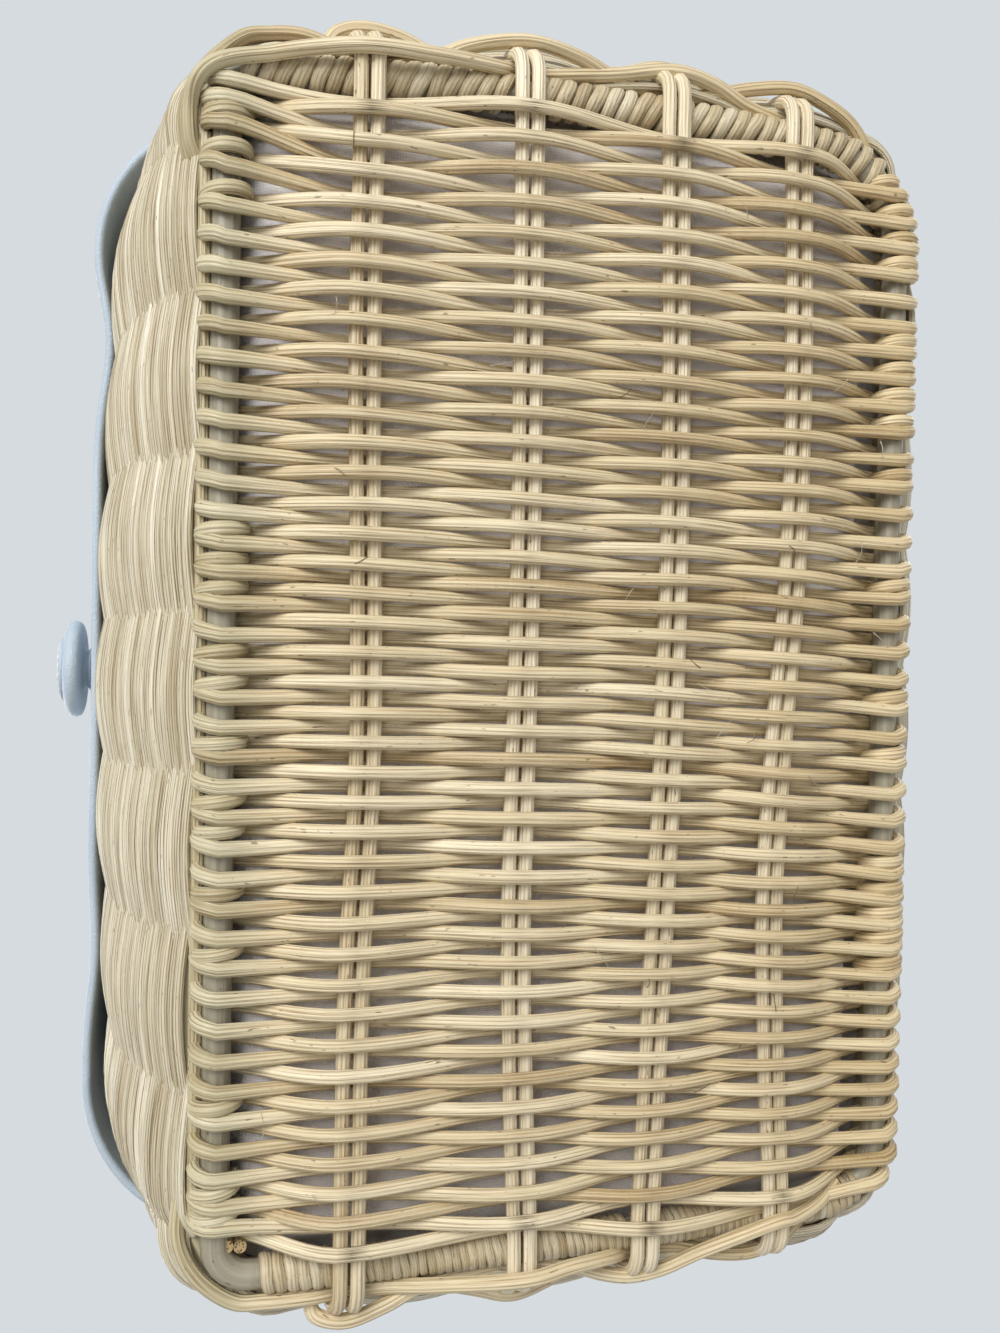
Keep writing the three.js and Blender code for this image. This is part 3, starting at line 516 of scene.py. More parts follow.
def lineObject(name, lines):
    edges, start = [], 0
    for line in lines:
        count = len(line["points"])
        edges += [(start + i, start + i + 1) for i in range(count - 1)]
        if line["closed"]:
            edges.append((start + count - 1, start))
        start += count

    def joined(key):
        return np.concatenate([line[key] for line in lines])

    shape = bpy.data.meshes.new(name)
    shape.from_pydata((joined("points") * mm).tolist(), edges, [])
    for key, scale in (("radius", mm), ("seed", 1.0), ("wear", 1.0)):
        layer = shape.attributes.new("rod" + key.title(), "FLOAT", "POINT")
        layer.data.foreach_set("value", (joined(key) * scale).astype(np.float32))
    layer = shape.attributes.new("rodFace", "FLOAT_VECTOR", "POINT")
    layer.data.foreach_set("vector", joined("face").astype(np.float32).ravel())
    return newObject(name, shape)


def sweepRods(name, lines, finish, sides, thickness=1.0):
    values = {"Sides": sides, "Thickness share": thickness, "Finish": finish}
    return applyTree(lineObject(name, lines), rodTree, values)


def sewLine(points, faces, closed=False):
    line = makeLine(points, 1.0, 0.0, (0, 0, 1), closed)
    line["face"] = np.broadcast_to(np.asarray(faces, float), line["points"].shape)
    return line


stitch = {"step": 4.2, "length": 3.0, "width": 0.75, "sink": 0.7}


def sewRows(name, lines, step=stitch["step"], length=stitch["length"], width=stitch["width"]):
    values = {"Step": step * mm, "Length": length * mm, "Thread": width * mm, "Sink": stitch["sink"],
              "Finish": thread}
    return applyTree(lineObject(name, lines), stitchTree, values)


def finishPiece(obj, body, slot, *nodes):
    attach(obj, body)
    if nodes:
        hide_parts(*nodes)
    return obj


def clamped(value):
    return min(max(value, 0.0), 1.0)


def smoothShare(value, low, high):
    t = clamped((value - low) / (high - low))
    return t * t * (3 - 2 * t)


# a smooth random value from -1 to 1, with a scale for each of the numbers it depends on
def wobble(scale, x, y=1.0, z=1.0):
    return noise.noise(Vector((x * scale[0], y * scale[1], z * scale[2])))


# a smooth line through all the points
def throughPoints(points, steps):
    points = np.asarray(points, float)
    padded = np.vstack([2 * points[0] - points[1], points, 2 * points[-1] - points[-2]])
    line = []
    for i in range(1, len(padded) - 2):
        a, b, c, d = padded[i - 1:i + 3]
        for k in range(steps):
            t = k / steps
            curve = (2 * a - 5 * b + 4 * c - d) * t ** 2 + (3 * b - a - 3 * c + d) * t ** 3
            line.append(0.5 * (2 * b + (c - a) * t + curve))
    line.append(points[-1])
    return np.array(line)


def lengthAlong(line):
    return np.concatenate([[0.0], np.cumsum(np.hypot(*np.diff(line, axis=0).T))])


def pointAlong(line, at):
    length = lengthAlong(line)
    return np.array([np.interp(at, length, column) for column in line.T])


# shape of the wall, out from the hoop's centre line
def wallOuter(z):
    flare = bag["wallFlare"] * (1 - math.exp(-(z - hoopZ) / bag["flareHeight"]))
    share = max(0.0, (z - bag["taperStart"]) / (bag["wallTop"] - bag["taperStart"]))
    return bag["wallFoot"] + flare - bag["rimTaper"] * share ** bag["taperPower"]


def wallInner(z):
    slope = wallOuter(z + 0.5) - wallOuter(z - 0.5)
    return wallOuter(z) - bag["wallThickness"] * math.hypot(1, slope)


def bowAt(z):
    return bag["sideBow"] * math.sin(math.pi * clamped((z - hoopZ) / (bag["wallTop"] - hoopZ)))


def dipAt(z):
    low = hoopZ + bag["dipStart"]
    share = clamped((z - low) / (bag["wallTop"] - low))
    return bag["cornerDip"] * math.sin(math.pi * share ** bag["dipPower"])


# the back of the wall rises steeply before it flares, behind the turns on the hoop
def tuckAt(z):
    return bag["backTuck"] * smoothShare(z, *bag["tuckRise"]) * (1 - smoothShare(z, *bag["tuckFall"]))


def dipShare(away):
    return math.cos(math.pi / 2 * min(away / bag["dipSpan"], 1.0)) ** 2


# the way round the hoop: left end, front, right end and back, each followed by its corner
roundParts = ("left", "leftCorner", "front", "frontCorner", "right", "rightCorner", "back", "backCorner")


def cornerLength(spread):
    return (bag["corner"] + spread) * math.pi / 2


def placeAt(part, share):
    side, isCorner = divmod(roundParts.index(part), 2)
    quarter = math.pi + side * math.pi / 2
    nx, ny = math.cos(quarter), math.sin(quarter)
    half = flatX if side % 2 else flatY
    x, y = ((-flatX, 0), (0, -flatY), (flatX, 0), (0, flatY))[side]
    arc = cornerLength(bag["columnReach"])
    along = half if isCorner else (2 * share - 1) * half
    x, y = x - ny * along, y + nx * along
    if isCorner:
        angle = quarter + share * math.pi / 2
        nx, ny = math.cos(angle), math.sin(angle)
        bow, dip = 0.0, dipShare(arc * abs(share - 0.5))
    else:
        bow = math.cos(math.pi * along / (2 * half)) ** 2
        dip = dipShare(arc / 2 + half - abs(along))
    return {"part": part, "share": share, "x": x + nx * bag["corner"], "y": y + ny * bag["corner"] + middleY,
            "nx": nx, "ny": ny, "bow": bow, "dip": dip}


def partLengths(spread):
    return [2 * flatY, cornerLength(spread), 2 * flatX, cornerLength(spread)] * 2


def walkRound(distance, spread):
    lengths = partLengths(spread)
    distance %= sum(lengths)
    for part, length in zip(roundParts, lengths):
        if distance <= length:
            return placeAt(part, distance / length)
        distance -= length
    return placeAt(roundParts[0], 0.0)


def standOut(place, out, z, belly=True):
    if belly:
        out += bowAt(z) * place["bow"] - dipAt(z) * place["dip"] - tuckAt(z) * max(place["ny"], 0.0) ** 2
    return (place["x"] + place["nx"] * out, place["y"] + place["ny"] * out, z)


def roundPlaces(spread, step):
    total = sum(partLengths(spread))
    count = int(round(total / step))
    return [walkRound(total * i / count, spread) for i in range(count)]


# the hoop isn't straight: its ends bow out, the right one more, and its back is drawn in towards the left
endBow = {"right": 4.0, "left": 1.5, "middle": middleY + 7.15, "half": 74.0, "alongPower": 2.2,
          "acrossPower": 3, "fullBelow": 14.0, "goneAbove": 95.0, "backTurn": 0.015, "backIn": 0.9}


def bowEnds(points):
    bowed = []
    for x, y, z in points:
        reach = endBow["right"] if x > 0 else -endBow["left"]
        along = max(0.0, 1 - abs((y - endBow["middle"]) / endBow["half"]) ** endBow["alongPower"])
        fade = clamped((endBow["goneAbove"] - z) / (endBow["goneAbove"] - endBow["fullBelow"]))
        across = min(abs(x) / halfLength, 1.0) ** endBow["acrossPower"]
        drawn = (endBow["backTurn"] * x - endBow["backIn"]) * smoothShare(y, pairs[2], backY)
        bowed.append((x + reach * along * across * fade, y + drawn * fade, z))
    return bowed


def meshPiece(name, points, faces, finish, smooth=True):
    shape = bpy.data.meshes.new(name)
    shape.from_pydata((np.asarray(points, float) * mm).tolist(), [], faces)
    shape.validate()
    shape.polygons.foreach_set("use_smooth", [smooth] * len(shape.polygons))
    shape.materials.append(finish)
    return newObject(name, shape)


def loftFaces(ringCount, perRing, loopRings=False):
    faces = []
    for i in range(ringCount if loopRings else ringCount - 1):
        low, high = i * perRing, (i + 1) % ringCount * perRing
        for j in range(perRing):
            k = (j + 1) % perRing
            faces.append((low + j, low + k, high + k, high + j))
    return faces


def outward(obj):
    shape = obj.data
    volume = 0.0
    shape.calc_loop_triangles()
    for tri in shape.loop_triangles:
        a, b, c = (shape.vertices[i].co for i in tri.vertices)
        volume += a.dot(b.cross(c))
    if volume < 0:
        shape.flip_normals()
    return obj


# a closed skin over rings of points, with a face over the first and the last
def loftPiece(name, rings, finish):
    perRing = len(rings[0])
    faces = loftFaces(len(rings), perRing)
    faces.append(tuple(range(perRing))[::-1])
    faces.append(tuple(range((len(rings) - 1) * perRing, len(rings) * perRing)))
    return outward(meshPiece(name, [p for ring in rings for p in ring], faces, finish))


# base hoop: one bent pole, its front corners bent sharper than the back ones
hoop = {"step": 1.6, "sides": 18, "seed": 0.31, "cornerSteps": 12, "wander": 0.12, "waver": (0.03, 0.03, 1.7),
        "corners": {(-1, -1): 7.0, (1, -1): 6.0, (1, 1): 18.0, (-1, 1): 14.0}}  # end and side: radius


# half the hoop's width at this x, on the front (-1) or the back (1)
def hoopLine(x, side):
    radius = hoop["corners"][(1 if x > 0 else -1, side)]
    past = min(max(abs(x) - halfLength + radius, 0.0), radius)
    return halfWidth - radius + math.sqrt(radius ** 2 - past ** 2)


# how far a corner draws the hoop's end in at this y
def endInset(end, y):
    radius = hoop["corners"][(end, 1 if y > middleY else -1)]
    past = min(max(abs(y - middleY) - halfWidth + radius, 0.0), radius)
    return radius - math.sqrt(radius ** 2 - past ** 2)


# a point on the way round the hoop's section: up at no angle, outwards at a quarter turn
def roundHoop(x, side, angle, reach, drift=0.0):
    out = hoopLine(x, side) + reach * math.sin(angle)
    return (x + drift, middleY + side * out, hoopZ + reach * math.cos(angle))


def makeHoop():
    path = []
    for end, side, start in ((-1, -1, 180), (1, -1, 270), (1, 1, 0), (-1, 1, 90)):
        radius = hoop["corners"][(end, side)]
        for i in range(hoop["cornerSteps"] + 1):
            angle = math.radians(start + 90 * i / hoop["cornerSteps"])
            path.append((end * (halfLength - radius) + radius * math.cos(angle),
                         middleY + side * (halfWidth - radius) + radius * math.sin(angle)))
    path = np.array(path + path[:1])
    total = lengthAlong(path)[-1]
    line = []
    for x, y in zip(*pointAlong(path, np.linspace(0, total, int(total / hoop["step"]), False))):
        line.append((x, y, hoopZ + hoop["wander"] * wobble(hoop["waver"], x, y)))
    rod = makeLine(bowEnds(line), hoopRadius, hoop["seed"], (0, 0, 1), True)
    finishPiece(sweepRods("baseHoop", [rod], polished, hoop["sides"]), "basket", "pole", "base_hoop")


makeHoop()

# base stakes: four pairs, turned up into the end walls
stakes = {
    "radius": 1.52, "flatness": 0.91, "sides": 12, "step": 6.0, "reach": 114.0, "lean": (-1.6, -0.6),
    "wander": 0.16, "wanderUp": 0.5, "waver": (0.03, 1.0, 0.0), "swell": 0.05, "swellWaver": (0.05, 1.0, 9.0),
    # x, share of the lean, rise
    "turnUp": [(118.0, 0.0, -0.2), (121.0, 0.0, -0.1), (123.2, 0.1, 0.6), (124.7, 0.3, 1.9),
               (125.7, 0.5, 3.8), (126.4, 0.7, 6.0), (127.2, 0.9, 9.5), (128.4, 1.0, 14.0)],
    # x, and how far each pair strays there
    "strays": (((-112, -2.6), (-65, -2.4), (-10, -0.6), (60, -1.6), (112, -1.3)),
               ((-114, 0.0), (-80, -1.5), (-45, -2.0), (20, -1.0), (112, -1.0)),
               ((-112, -7.1), (-60, -5.0), (-10, -3.0), (40, -2.2), (112, -2.8)),
               ((-114, -3.1), (-85, -5.0), (-50, -6.2), (-15, -4.5), (20, -2.0), (60, -1.1), (112, -1.9))),
}
stakes["bends"] = [throughPoints(knots, steps=10) for knots in stakes["strays"]]


# where a pair lies across the base at this x: none of them runs quite straight
def pairAt(pair, x):
    bend = stakes["bends"][pair]
    return pairs[pair] + float(np.interp(x, bend[:, 0], bend[:, 1]))


def makeStakes():
    draw = random.Random(11)
    reach = stakes["reach"]
    course = [(-x, swing, rise) for x, swing, rise in stakes["turnUp"][::-1]]
    course += [(x, 0.0, 0.0) for x in np.arange(-reach, reach + 0.1, stakes["step"])]
    course += stakes["turnUp"]
    lines = []
    for pair in range(len(pairs)):
        for side in (-1, 1):
            phase = draw.uniform(0, 50)
            lean = draw.uniform(*stakes["lean"])
            points, radius = [], []
            for x, swing, rise in course:
                stray = stakes["wander"] * wobble(stakes["waver"], x, phase)
                y = pairAt(pair, x) + side * bag["pairHalf"] + swing * lean + stray
                points.append((x, y, stakeZ + rise + stakes["wanderUp"] * stray))
                swell = 1 + stakes["swell"] * wobble(stakes["swellWaver"], x, phase)
                radius.append(stakes["radius"] * swell)
            lines.append(makeLine(bowEnds(points), radius, draw.random(), (0, 1, 0)))
    obj = sweepRods("baseStakes", lines, rattanPale, stakes["sides"], stakes["flatness"])
    finishPiece(obj, "basket", "rattan", *[f"base_stake_{n}{c}" for n in (1, 2, 3, 4) for c in "ab"])


makeStakes()

# base weave: one weaver that runs to and fro over and under the pairs and round the hoop
weave = {
    "rows": 78, "firstX": 112.2, "radius": 1.42, "flatness": 0.872, "crest": 2.64, "sides": 12, "perBay": 9,
    "turnSteps": 8, "wrapSlack": 0.05, "thickness": (0.94, 1.05), "shift": 0.14,
    "flat": 2.6, "smooth": 0.65, "hoopEase": 0.45, "hoopPower": 1.1,  # flat over a pair, then sloping
    "startTurn": -0.25, "wander": 0.75, "waver": (0.055, 0.028, 3.3), "skew": 3.2, "skewRows": 1.4,
    "skewFull": 3, "skewEnd": 1, "fan": 4.0, "fanRow": 3.5, "fanRows": 2.6, "fanEnd": 3, "slowFan": 1.2,
    "slowFanRows": 14, "lastFan": 2.8, "lastFanRows": 2.0,
    "sag": 8.0, "sagX": -42.0, "sagAbove": 70.0, "sagBelow": 54.0, "sagPower": 2.2,
    "wear": 0.12, "edgeWear": 0.7, "edgeRows": 2, "wearReach": 2.8,
    "turnSwell": 0.15, "swellFrom": (62, 75), "swell": 0.05, "swellWaver": (0.06, 3.1, 4.4),
}
weavePitch = 2 * weave["firstX"] / (weave["rows"] - 1)


# the first rows fan out towards the front right corner, and the last ones stop short of the front left one
def rowFan(row, y):
    lift = weave["fan"] * math.exp(-((row - weave["fanRow"]) / weave["fanRows"]) ** 2)
    lift += weave["slowFan"] * math.exp(-row / weave["slowFanRows"])
    lift += weave["lastFan"] * math.exp(min(row - weave["rows"] + 2, 0) / weave["lastFanRows"])
    return lift * (1 - smoothShare(y, frontY, pairs[0] - weave["fanEnd"]))


# rows sag to the left at the back, most of all left of the middle, and the last ones slope
def rowDrift(x, y, fromLast=99):
    skew = smoothShare(y, pairs[1], pairs[3] - weave["skewFull"])
    skew *= 1 - smoothShare(y, pairs[3] - weave["skewEnd"], backY)
    sway = weave["wander"] * wobble(weave["waver"], x, y)
    along = clamped((y - frontY) / (backY - frontY))
    spread = weave["sagAbove"] if x > weave["sagX"] else weave["sagBelow"]
    sag = weave["sag"] * along ** weave["sagPower"] * math.exp(-((x - weave["sagX"]) / spread) ** 2)
    return sway - sag - weave["skew"] * math.exp(-fromLast / weave["skewRows"]) * skew


# where a row crosses the hoop's front, the stake pairs and the hoop's back
def rowKnots(row, x, wrap):
    below = row % 2 == 0  # this row passes below the front hoop
    knots = [(middleY - hoopLine(x + rowFan(row, frontY), -1), hoopZ + (-wrap if below else wrap))]
    for pair in range(len(pairs)):
        high = (pair % 2 == 0) == below
        knots.append((pairAt(pair, x), stakeZ + (weave["crest"] if high else -weave["crest"])))
    return knots + [(middleY + hoopLine(x, 1), hoopZ + (wrap if below else -wrap))]


def rowRun(row, x, shift, knots):
    run, last = [], len(knots) - 2
    share, power = weave["hoopEase"], weave["hoopPower"]
    for k in range(last + 1):
        (y0, z0), (y1, z1) = knots[k:k + 2]
        flat0 = weave["flat"] if k > 0 else 0.0
        flat1 = weave["flat"] if k < last else 0.0
        for i in range(weave["perBay"]):
            y = y0 + (y1 - y0) * i / weave["perBay"]
            t = clamped((y - y0 - flat0) / (y1 - y0 - flat0 - flat1))
            ease = weave["smooth"] * t * t * (3 - 2 * t) + (1 - weave["smooth"]) * t
            if k == 0:
                ease = (1 - share) * ease + share * math.sin(t * math.pi / 2) ** power
            if k == last:
                ease = (1 - share) * ease + share * (1 - math.cos(t * math.pi / 2) ** power)
            drift = rowDrift(x, y, weave["rows"] - 1 - row) + rowFan(row, y)
            run.append((x + shift + drift, y, z0 + (z1 - z0) * ease))
    y, z = knots[-1]
    return run + [(x + shift + rowDrift(x, y), y, z)]


# splits on the underside of the pairs, most on the first and last rows
def rowWear(row, run, knots):
    isEdge = min(row, weave["rows"] - 1 - row) < weave["edgeRows"]
    most = weave["edgeWear"] if isEdge else weave["wear"]
    wear = []
    for x, y, z in run:
        near = min(abs(y - knot[0]) for knot in knots[1:-1])
        wear.append(most * max(0.0, 1 - near / weave["wearReach"]) if z < stakeZ else 0.0)
    return wear


def makeWeave():
    draw = random.Random(5)
    rows, steps = weave["rows"], weave["turnSteps"]
    wrap = hoopRadius + weave["radius"] * weave["flatness"] + weave["wrapSlack"]
    rowSeeds = [draw.random() for _ in range(rows)]
    points = []
    for i in range(steps):  # the first end comes over the front of the hoop
        angle = math.pi * ((1 - weave["startTurn"]) * i / steps + weave["startTurn"])
        x = weave["firstX"] + weavePitch * (1 - i / steps) + rowFan(0, frontY)
        points.append(roundHoop(x, -1, angle, wrap, rowDrift(x, frontY)))
    seeds, radii, wears = [rowSeeds[0]] * steps, [weave["radius"]] * steps, [0.0] * steps
    for row in range(rows):
        x = weave["firstX"] - row * weavePitch
        thick = weave["radius"] * draw.uniform(*weave["thickness"])
        shift = draw.uniform(-weave["shift"], weave["shift"])
        knots = rowKnots(row, x, wrap)
        run = rowRun(row, x, shift, knots)
        wear = rowWear(row, run, knots)
        if row % 2:
            run, wear = run[::-1], wear[::-1]
        seeds += [rowSeeds[row]] * len(run)
        # every row ends above a hoop side, turns down round it, and the next row starts below
        if row < rows - 1:
            side, sideY = (-1, frontY) if row % 2 else (1, backY)
            for i in range(1, steps):
                turnX = x + shift - weavePitch * i / steps
                if side < 0:
                    turnX += rowFan(row + i / steps, frontY)
                run.append(roundHoop(turnX, side, math.pi * i / steps, wrap, rowDrift(turnX, sideY)))
            seeds += [rowSeeds[row + 1]] * (steps - 1)
            wear += [0.0] * (steps - 1)
        points += run
        wears += wear
        for x, y, z in run:  # a little wider where it is bent round the hoop
            swell = weave["turnSwell"] * smoothShare(abs(y - middleY), *weave["swellFrom"])
            radii.append(thick * (1 + swell + weave["swell"] * wobble(weave["swellWaver"], y, row)))
    line = makeLine(bowEnds(points), radii, seeds, (1, 0, 0), False, wears)
    obj = sweepRods("baseWeave", [line], rattan, weave["sides"], weave["flatness"])
    finishPiece(obj, "basket", "rattan", "base_weave")


makeWeave()
print("base woven")

# short extra turns that fill the hoop between rows, and a rod at the foot of the front wall, behind the turns
wraps = {
    "front": ((0, 60), (0.58, 0.25)), "back": ((-100, -60, 40), (0.1, 0.45, 0.75)),  # x, and share wound
    "flatness": 0.82, "sides": 9, "steps": 14, "open": 62, "lift": 0.8, "shift": 0.3, "slant": (0.5, 1.3),
    "thickness": (1.45, 1.72),
    "footX": 107.0, "footStep": 4.0, "footOut": 4.05, "footRise": 0.7, "footRadius": 1.4, "footSeed": 0.62,
}


def makeHoopWraps():
    draw = random.Random(23)
    lines = []
    for side, sideY, chance, first in ((-1, frontY, wraps["front"], 1), (1, backY, wraps["back"], 0)):
        for row in range(first, weave["rows"] - 1, 2):
            x = weave["firstX"] - row * weavePitch + draw.uniform(-wraps["shift"], wraps["shift"])
            if draw.random() > np.interp(x, *chance):
                continue
            x += rowFan(row, frontY) if side < 0 else 0.0
            slant = draw.uniform(*wraps["slant"]) * side
            thick = draw.uniform(*wraps["thickness"])
            line = []
            for i in range(wraps["steps"] + 1):
                share = i / wraps["steps"]
                angle = math.radians(360 - wraps["open"] - (360 - 2 * wraps["open"]) * share)
                turnX = x + slant * (share - 0.5) * 2 + rowDrift(x, sideY)
                line.append(roundHoop(turnX, side, angle, hoopRadius + wraps["lift"] * thick))
            lines.append(makeLine(bowEnds(line), thick, draw.random(), (1, 0, 0)))
    footX = np.arange(-wraps["footX"], wraps["footX"] + 0.1, wraps["footStep"])
    foot = [(x, frontY - wraps["footOut"], hoopZ + wraps["footRise"]) for x in footX]
    lines.append(makeLine(bowEnds(foot), wraps["footRadius"], wraps["footSeed"], (0, 1, 0)))
    finishPiece(sweepRods("hoopWraps", lines, rattan, wraps["sides"], wraps["flatness"]), "basket", "rattan")


makeHoopWraps()

# flat cane wound round the hoop at both ends, between the stakes
whipping = {
    "right": {"step": 3.35, "width": 1.58, "from": -70.0, "to": 72.6, "slant": 0.55, "wideTo": -99.0},
    "left": {"step": 1.75, "width": 0.98, "from": -64.3, "to": 70.2, "slant": 0.32, "wideTo": -48.8},
    "wide": 1.35, "clear": 2.2, "overStake": 0.4, "lift": 0.3, "ripple": 0.12, "steps": 16, "sides": 8,
    "flatness": 0.5, "widths": (0.92, 1.06), "slants": (0.75, 1.2), "gaps": (0.94, 1.06),
}


def makeWhipping():
    draw = random.Random(31)
    lines = []
    for end, spec in ((1, whipping["right"]), (-1, whipping["left"])):
        along = spec["from"]
        while along < spec["to"]:
            y = middleY + along
            wider = along < spec["wideTo"]
            apart = min(abs(y - pairAt(pair, end * halfLength)) for pair in range(len(pairs)))
            if apart > whipping["clear"] or draw.random() < whipping["overStake"]:
                wide = spec["width"] * (whipping["wide"] if wider else draw.uniform(*whipping["widths"]))
                reach = hoopRadius + whipping["lift"] * wide
                slant = spec["step"] * spec["slant"] * draw.uniform(*whipping["slants"])
                line = []
                for i in range(whipping["steps"]):
                    angle = 2 * math.pi * i / whipping["steps"]
                    ripple = whipping["ripple"] * math.sin(3 * angle + along)
                    line.append((end * (halfLength - endInset(end, y) + reach * math.sin(angle)),
                                 y + slant * math.sin(angle) + ripple, hoopZ - reach * math.cos(angle)))
                lines.append(makeLine(bowEnds(line), wide, draw.random(), (0, 1, 0), True))
            along += spec["step"] * (whipping["wide"] if wider else draw.uniform(*whipping["gaps"]))
    obj = sweepRods("endWhipping", lines, rattanWound, whipping["sides"], whipping["flatness"])
    finishPiece(obj, "basket", "rattan")


makeWhipping()

# twining rods at the ends, through knots: where from, how far along, out from the hoop, height
# slide runs back along the front from the corner, front starts at the hoop's front, 1 to 4 at a stake pair
twines = {
    "radius": 1.6, "flatness": 0.94, "sides": 10, "steps": 7, "thickness": (0.96, 1.04),
    "right": (
        (("slide", 18, 5.4, 10.8), ("slide", 14.6, 6.8, 9.2), ("slide", 8.7, 6.9, 7.4),
         ("slide", 4.6, 5.4, 4.8), ("slide", 1.4, 1.3, 3.8), ("front", 7, 1.0, 3.6), ("front", 17, 2.6, 3.0),
         (1, 0, 2.9, 1.7), ("front", 39, 2.7, 2.4), ("front", 47, 2.9, 3.7), ("front", 54, 3.3, 5.6),
         (2, 0, 4.8, 9.8), (3, -14, 6.8, 8.6), (3, 0, 9.0, 7.0), (3, 10, 8.2, 7.6), (3, 19, 5.6, 9.2),
         (4, 0, 4.4, 10.5), (4, 9, 2.8, 12)),
        (("slide", 22, 5.6, 12.8), ("slide", 15, 7.6, 11.2), ("slide", 8, 7.8, 10.0), ("slide", 1, 4.4, 8.6),
         ("front", 2, 7.5, 9), ("front", 7, 8.0, 9.2), ("front", 14, 8.4, 9.6), ("front", 20, 7.0, 10.4),
         (1, 0, 4.8, 11.8), (1, 12, 5.4, 10.2), (2, -12, 8.6, 8.4), (2, 0, 10.4, 7.2), (2, 11, 9.2, 7.8),
         (2, 20, 6.8, 9.2), (3, 0, 4.8, 10.8), (3, 9, 6.4, 9.6), (4, -9, 9.2, 8.0), (4, 0, 10.6, 7.2),
         (4, 8, 9.2, 7.6), (4, 15, 7.6, 8.6), (4, 20, 5.6, 10), (4, 23, 3.6, 11.8)),
        (("front", 13, 3.2, 13), ("front", 18, 6.0, 12.4), (1, -6, 10.4, 11.8), (1, 0, 11.8, 11.6),
         (1, 8, 10.4, 11.8), (1, 16, 6.8, 12.4), (2, -10, 4.2, 13.2), (2, 9, 4.2, 13.2), (3, -16, 6.5, 12.5),
         (3, -7, 10.2, 11.8), (3, 0, 11.8, 11.5), (3, 8, 10.2, 11.8), (3, 15, 6.8, 12.5), (3, 21, 4.0, 13.4)),
    ),
    "left": (
        (("front", 13, 3.4, 12.6), ("front", 18, 6.2, 10.6), (1, -6, 9.4, 8.6), (1, 0, 10.4, 7.4),
         (1, 8, 8.4, 7.8), (1, 17, 5.8, 9.2), (2, 0, 4.8, 10.8), (2, 12, 6.0, 9.4), (3, -8, 7.8, 7.8),
         (3, -2, 8.6, 6.9), (3, 5, 7.9, 6.6), (3, 13, 5.0, 5.6), (4, -10, 1.6, 3.4), (4, -1, -1.2, 1.8),
         (4, 4, -1.3, 2.4), (4, 12, -2.3, 5), (4, 18, -4.2, 8)),
        (("slide", 22, 5.4, 12.4), ("slide", 14, 6.9, 10.8), ("slide", 7.5, 6.7, 9.4), ("slide", 1, 3.2, 8.2),
         ("front", 3.5, 5.2, 7.8), ("front", 10, 4.9, 7.4), ("front", 19, 5.2, 8.0), (1, 0, 5.6, 9.8),
         (1, 9, 5.0, 8.4), (1, 18, 3.8, 4.6), (2, 0, 3.3, 1.7), (2, 10, 2.4, 2.6), (2, 19, 2.8, 4.8),
         (3, -2, 4.6, 9.6), (3, 3, 4.8, 10.4), (3, 10, 5.4, 10), (3, 18, 7.4, 9), (4, -5, 8.1, 8.0),
         (4, 3, 6.9, 8.5), (4, 8, 5.4, 10), (4, 12, 3.8, 11.8)),
        ((1, 9, 3.4, 13.2), (1, 15, 6.2, 12.4), (2, -8, 9.6, 11.8), (2, 0, 11.6, 11.5), (2, 8, 9.8, 11.8),
         (2, 16, 6.6, 12.4), (3, -6, 4.0, 13.3)),
    ),
}


def twinePoint(end, origin, along, out, z):
    if origin == "slide":
        return (end * (halfLength - along), frontY - out, z)
    y = (frontY if origin == "front" else pairAt(origin - 1, end * halfLength)) + along
    return (end * (halfLength - endInset(end, y) + out), y, z)


def makeTwines():
    draw = random.Random(41)
    for end, label in ((1, "right"), (-1, "left")):
        lines = []
        for knots in twines[label]:
            points = throughPoints([twinePoint(end, *knot) for knot in knots], twines["steps"])
            thick = twines["radius"] * draw.uniform(*twines["thickness"])
            lines.append(makeLine(bowEnds(points), thick, draw.random(), (0, 0, 1)))
        obj = sweepRods("endTwines_" + label, lines, rattan, twines["sides"], twines["flatness"])
        finishPiece(obj, "basket", "rattan", f"end_twine_{label}_a", f"end_twine_{label}_b")


makeTwines()

# two cut rod ends inside the front left corner, and loose fibres on the base
loose = {"ends": ((-111.3, 2.4), (-111.6, 4.9)), "endRadius": 1.25, "endLow": 7.3, "endHigh": 15.0,
         "endPoints": 4, "endSeed": 0.5, "endSides": 14, "fibres": 30, "fibreRadius": 0.12, "fibrePoints": 7,
         "fibreSides": 5, "fibreTip": 0.5,
         "spanX": 104, "inside": 8, "reach": (2.5, 6.0), "curl": (-1.6, 1.6), "height": 0.95, "droop": 0.75,
         "darkShare": 0.4}


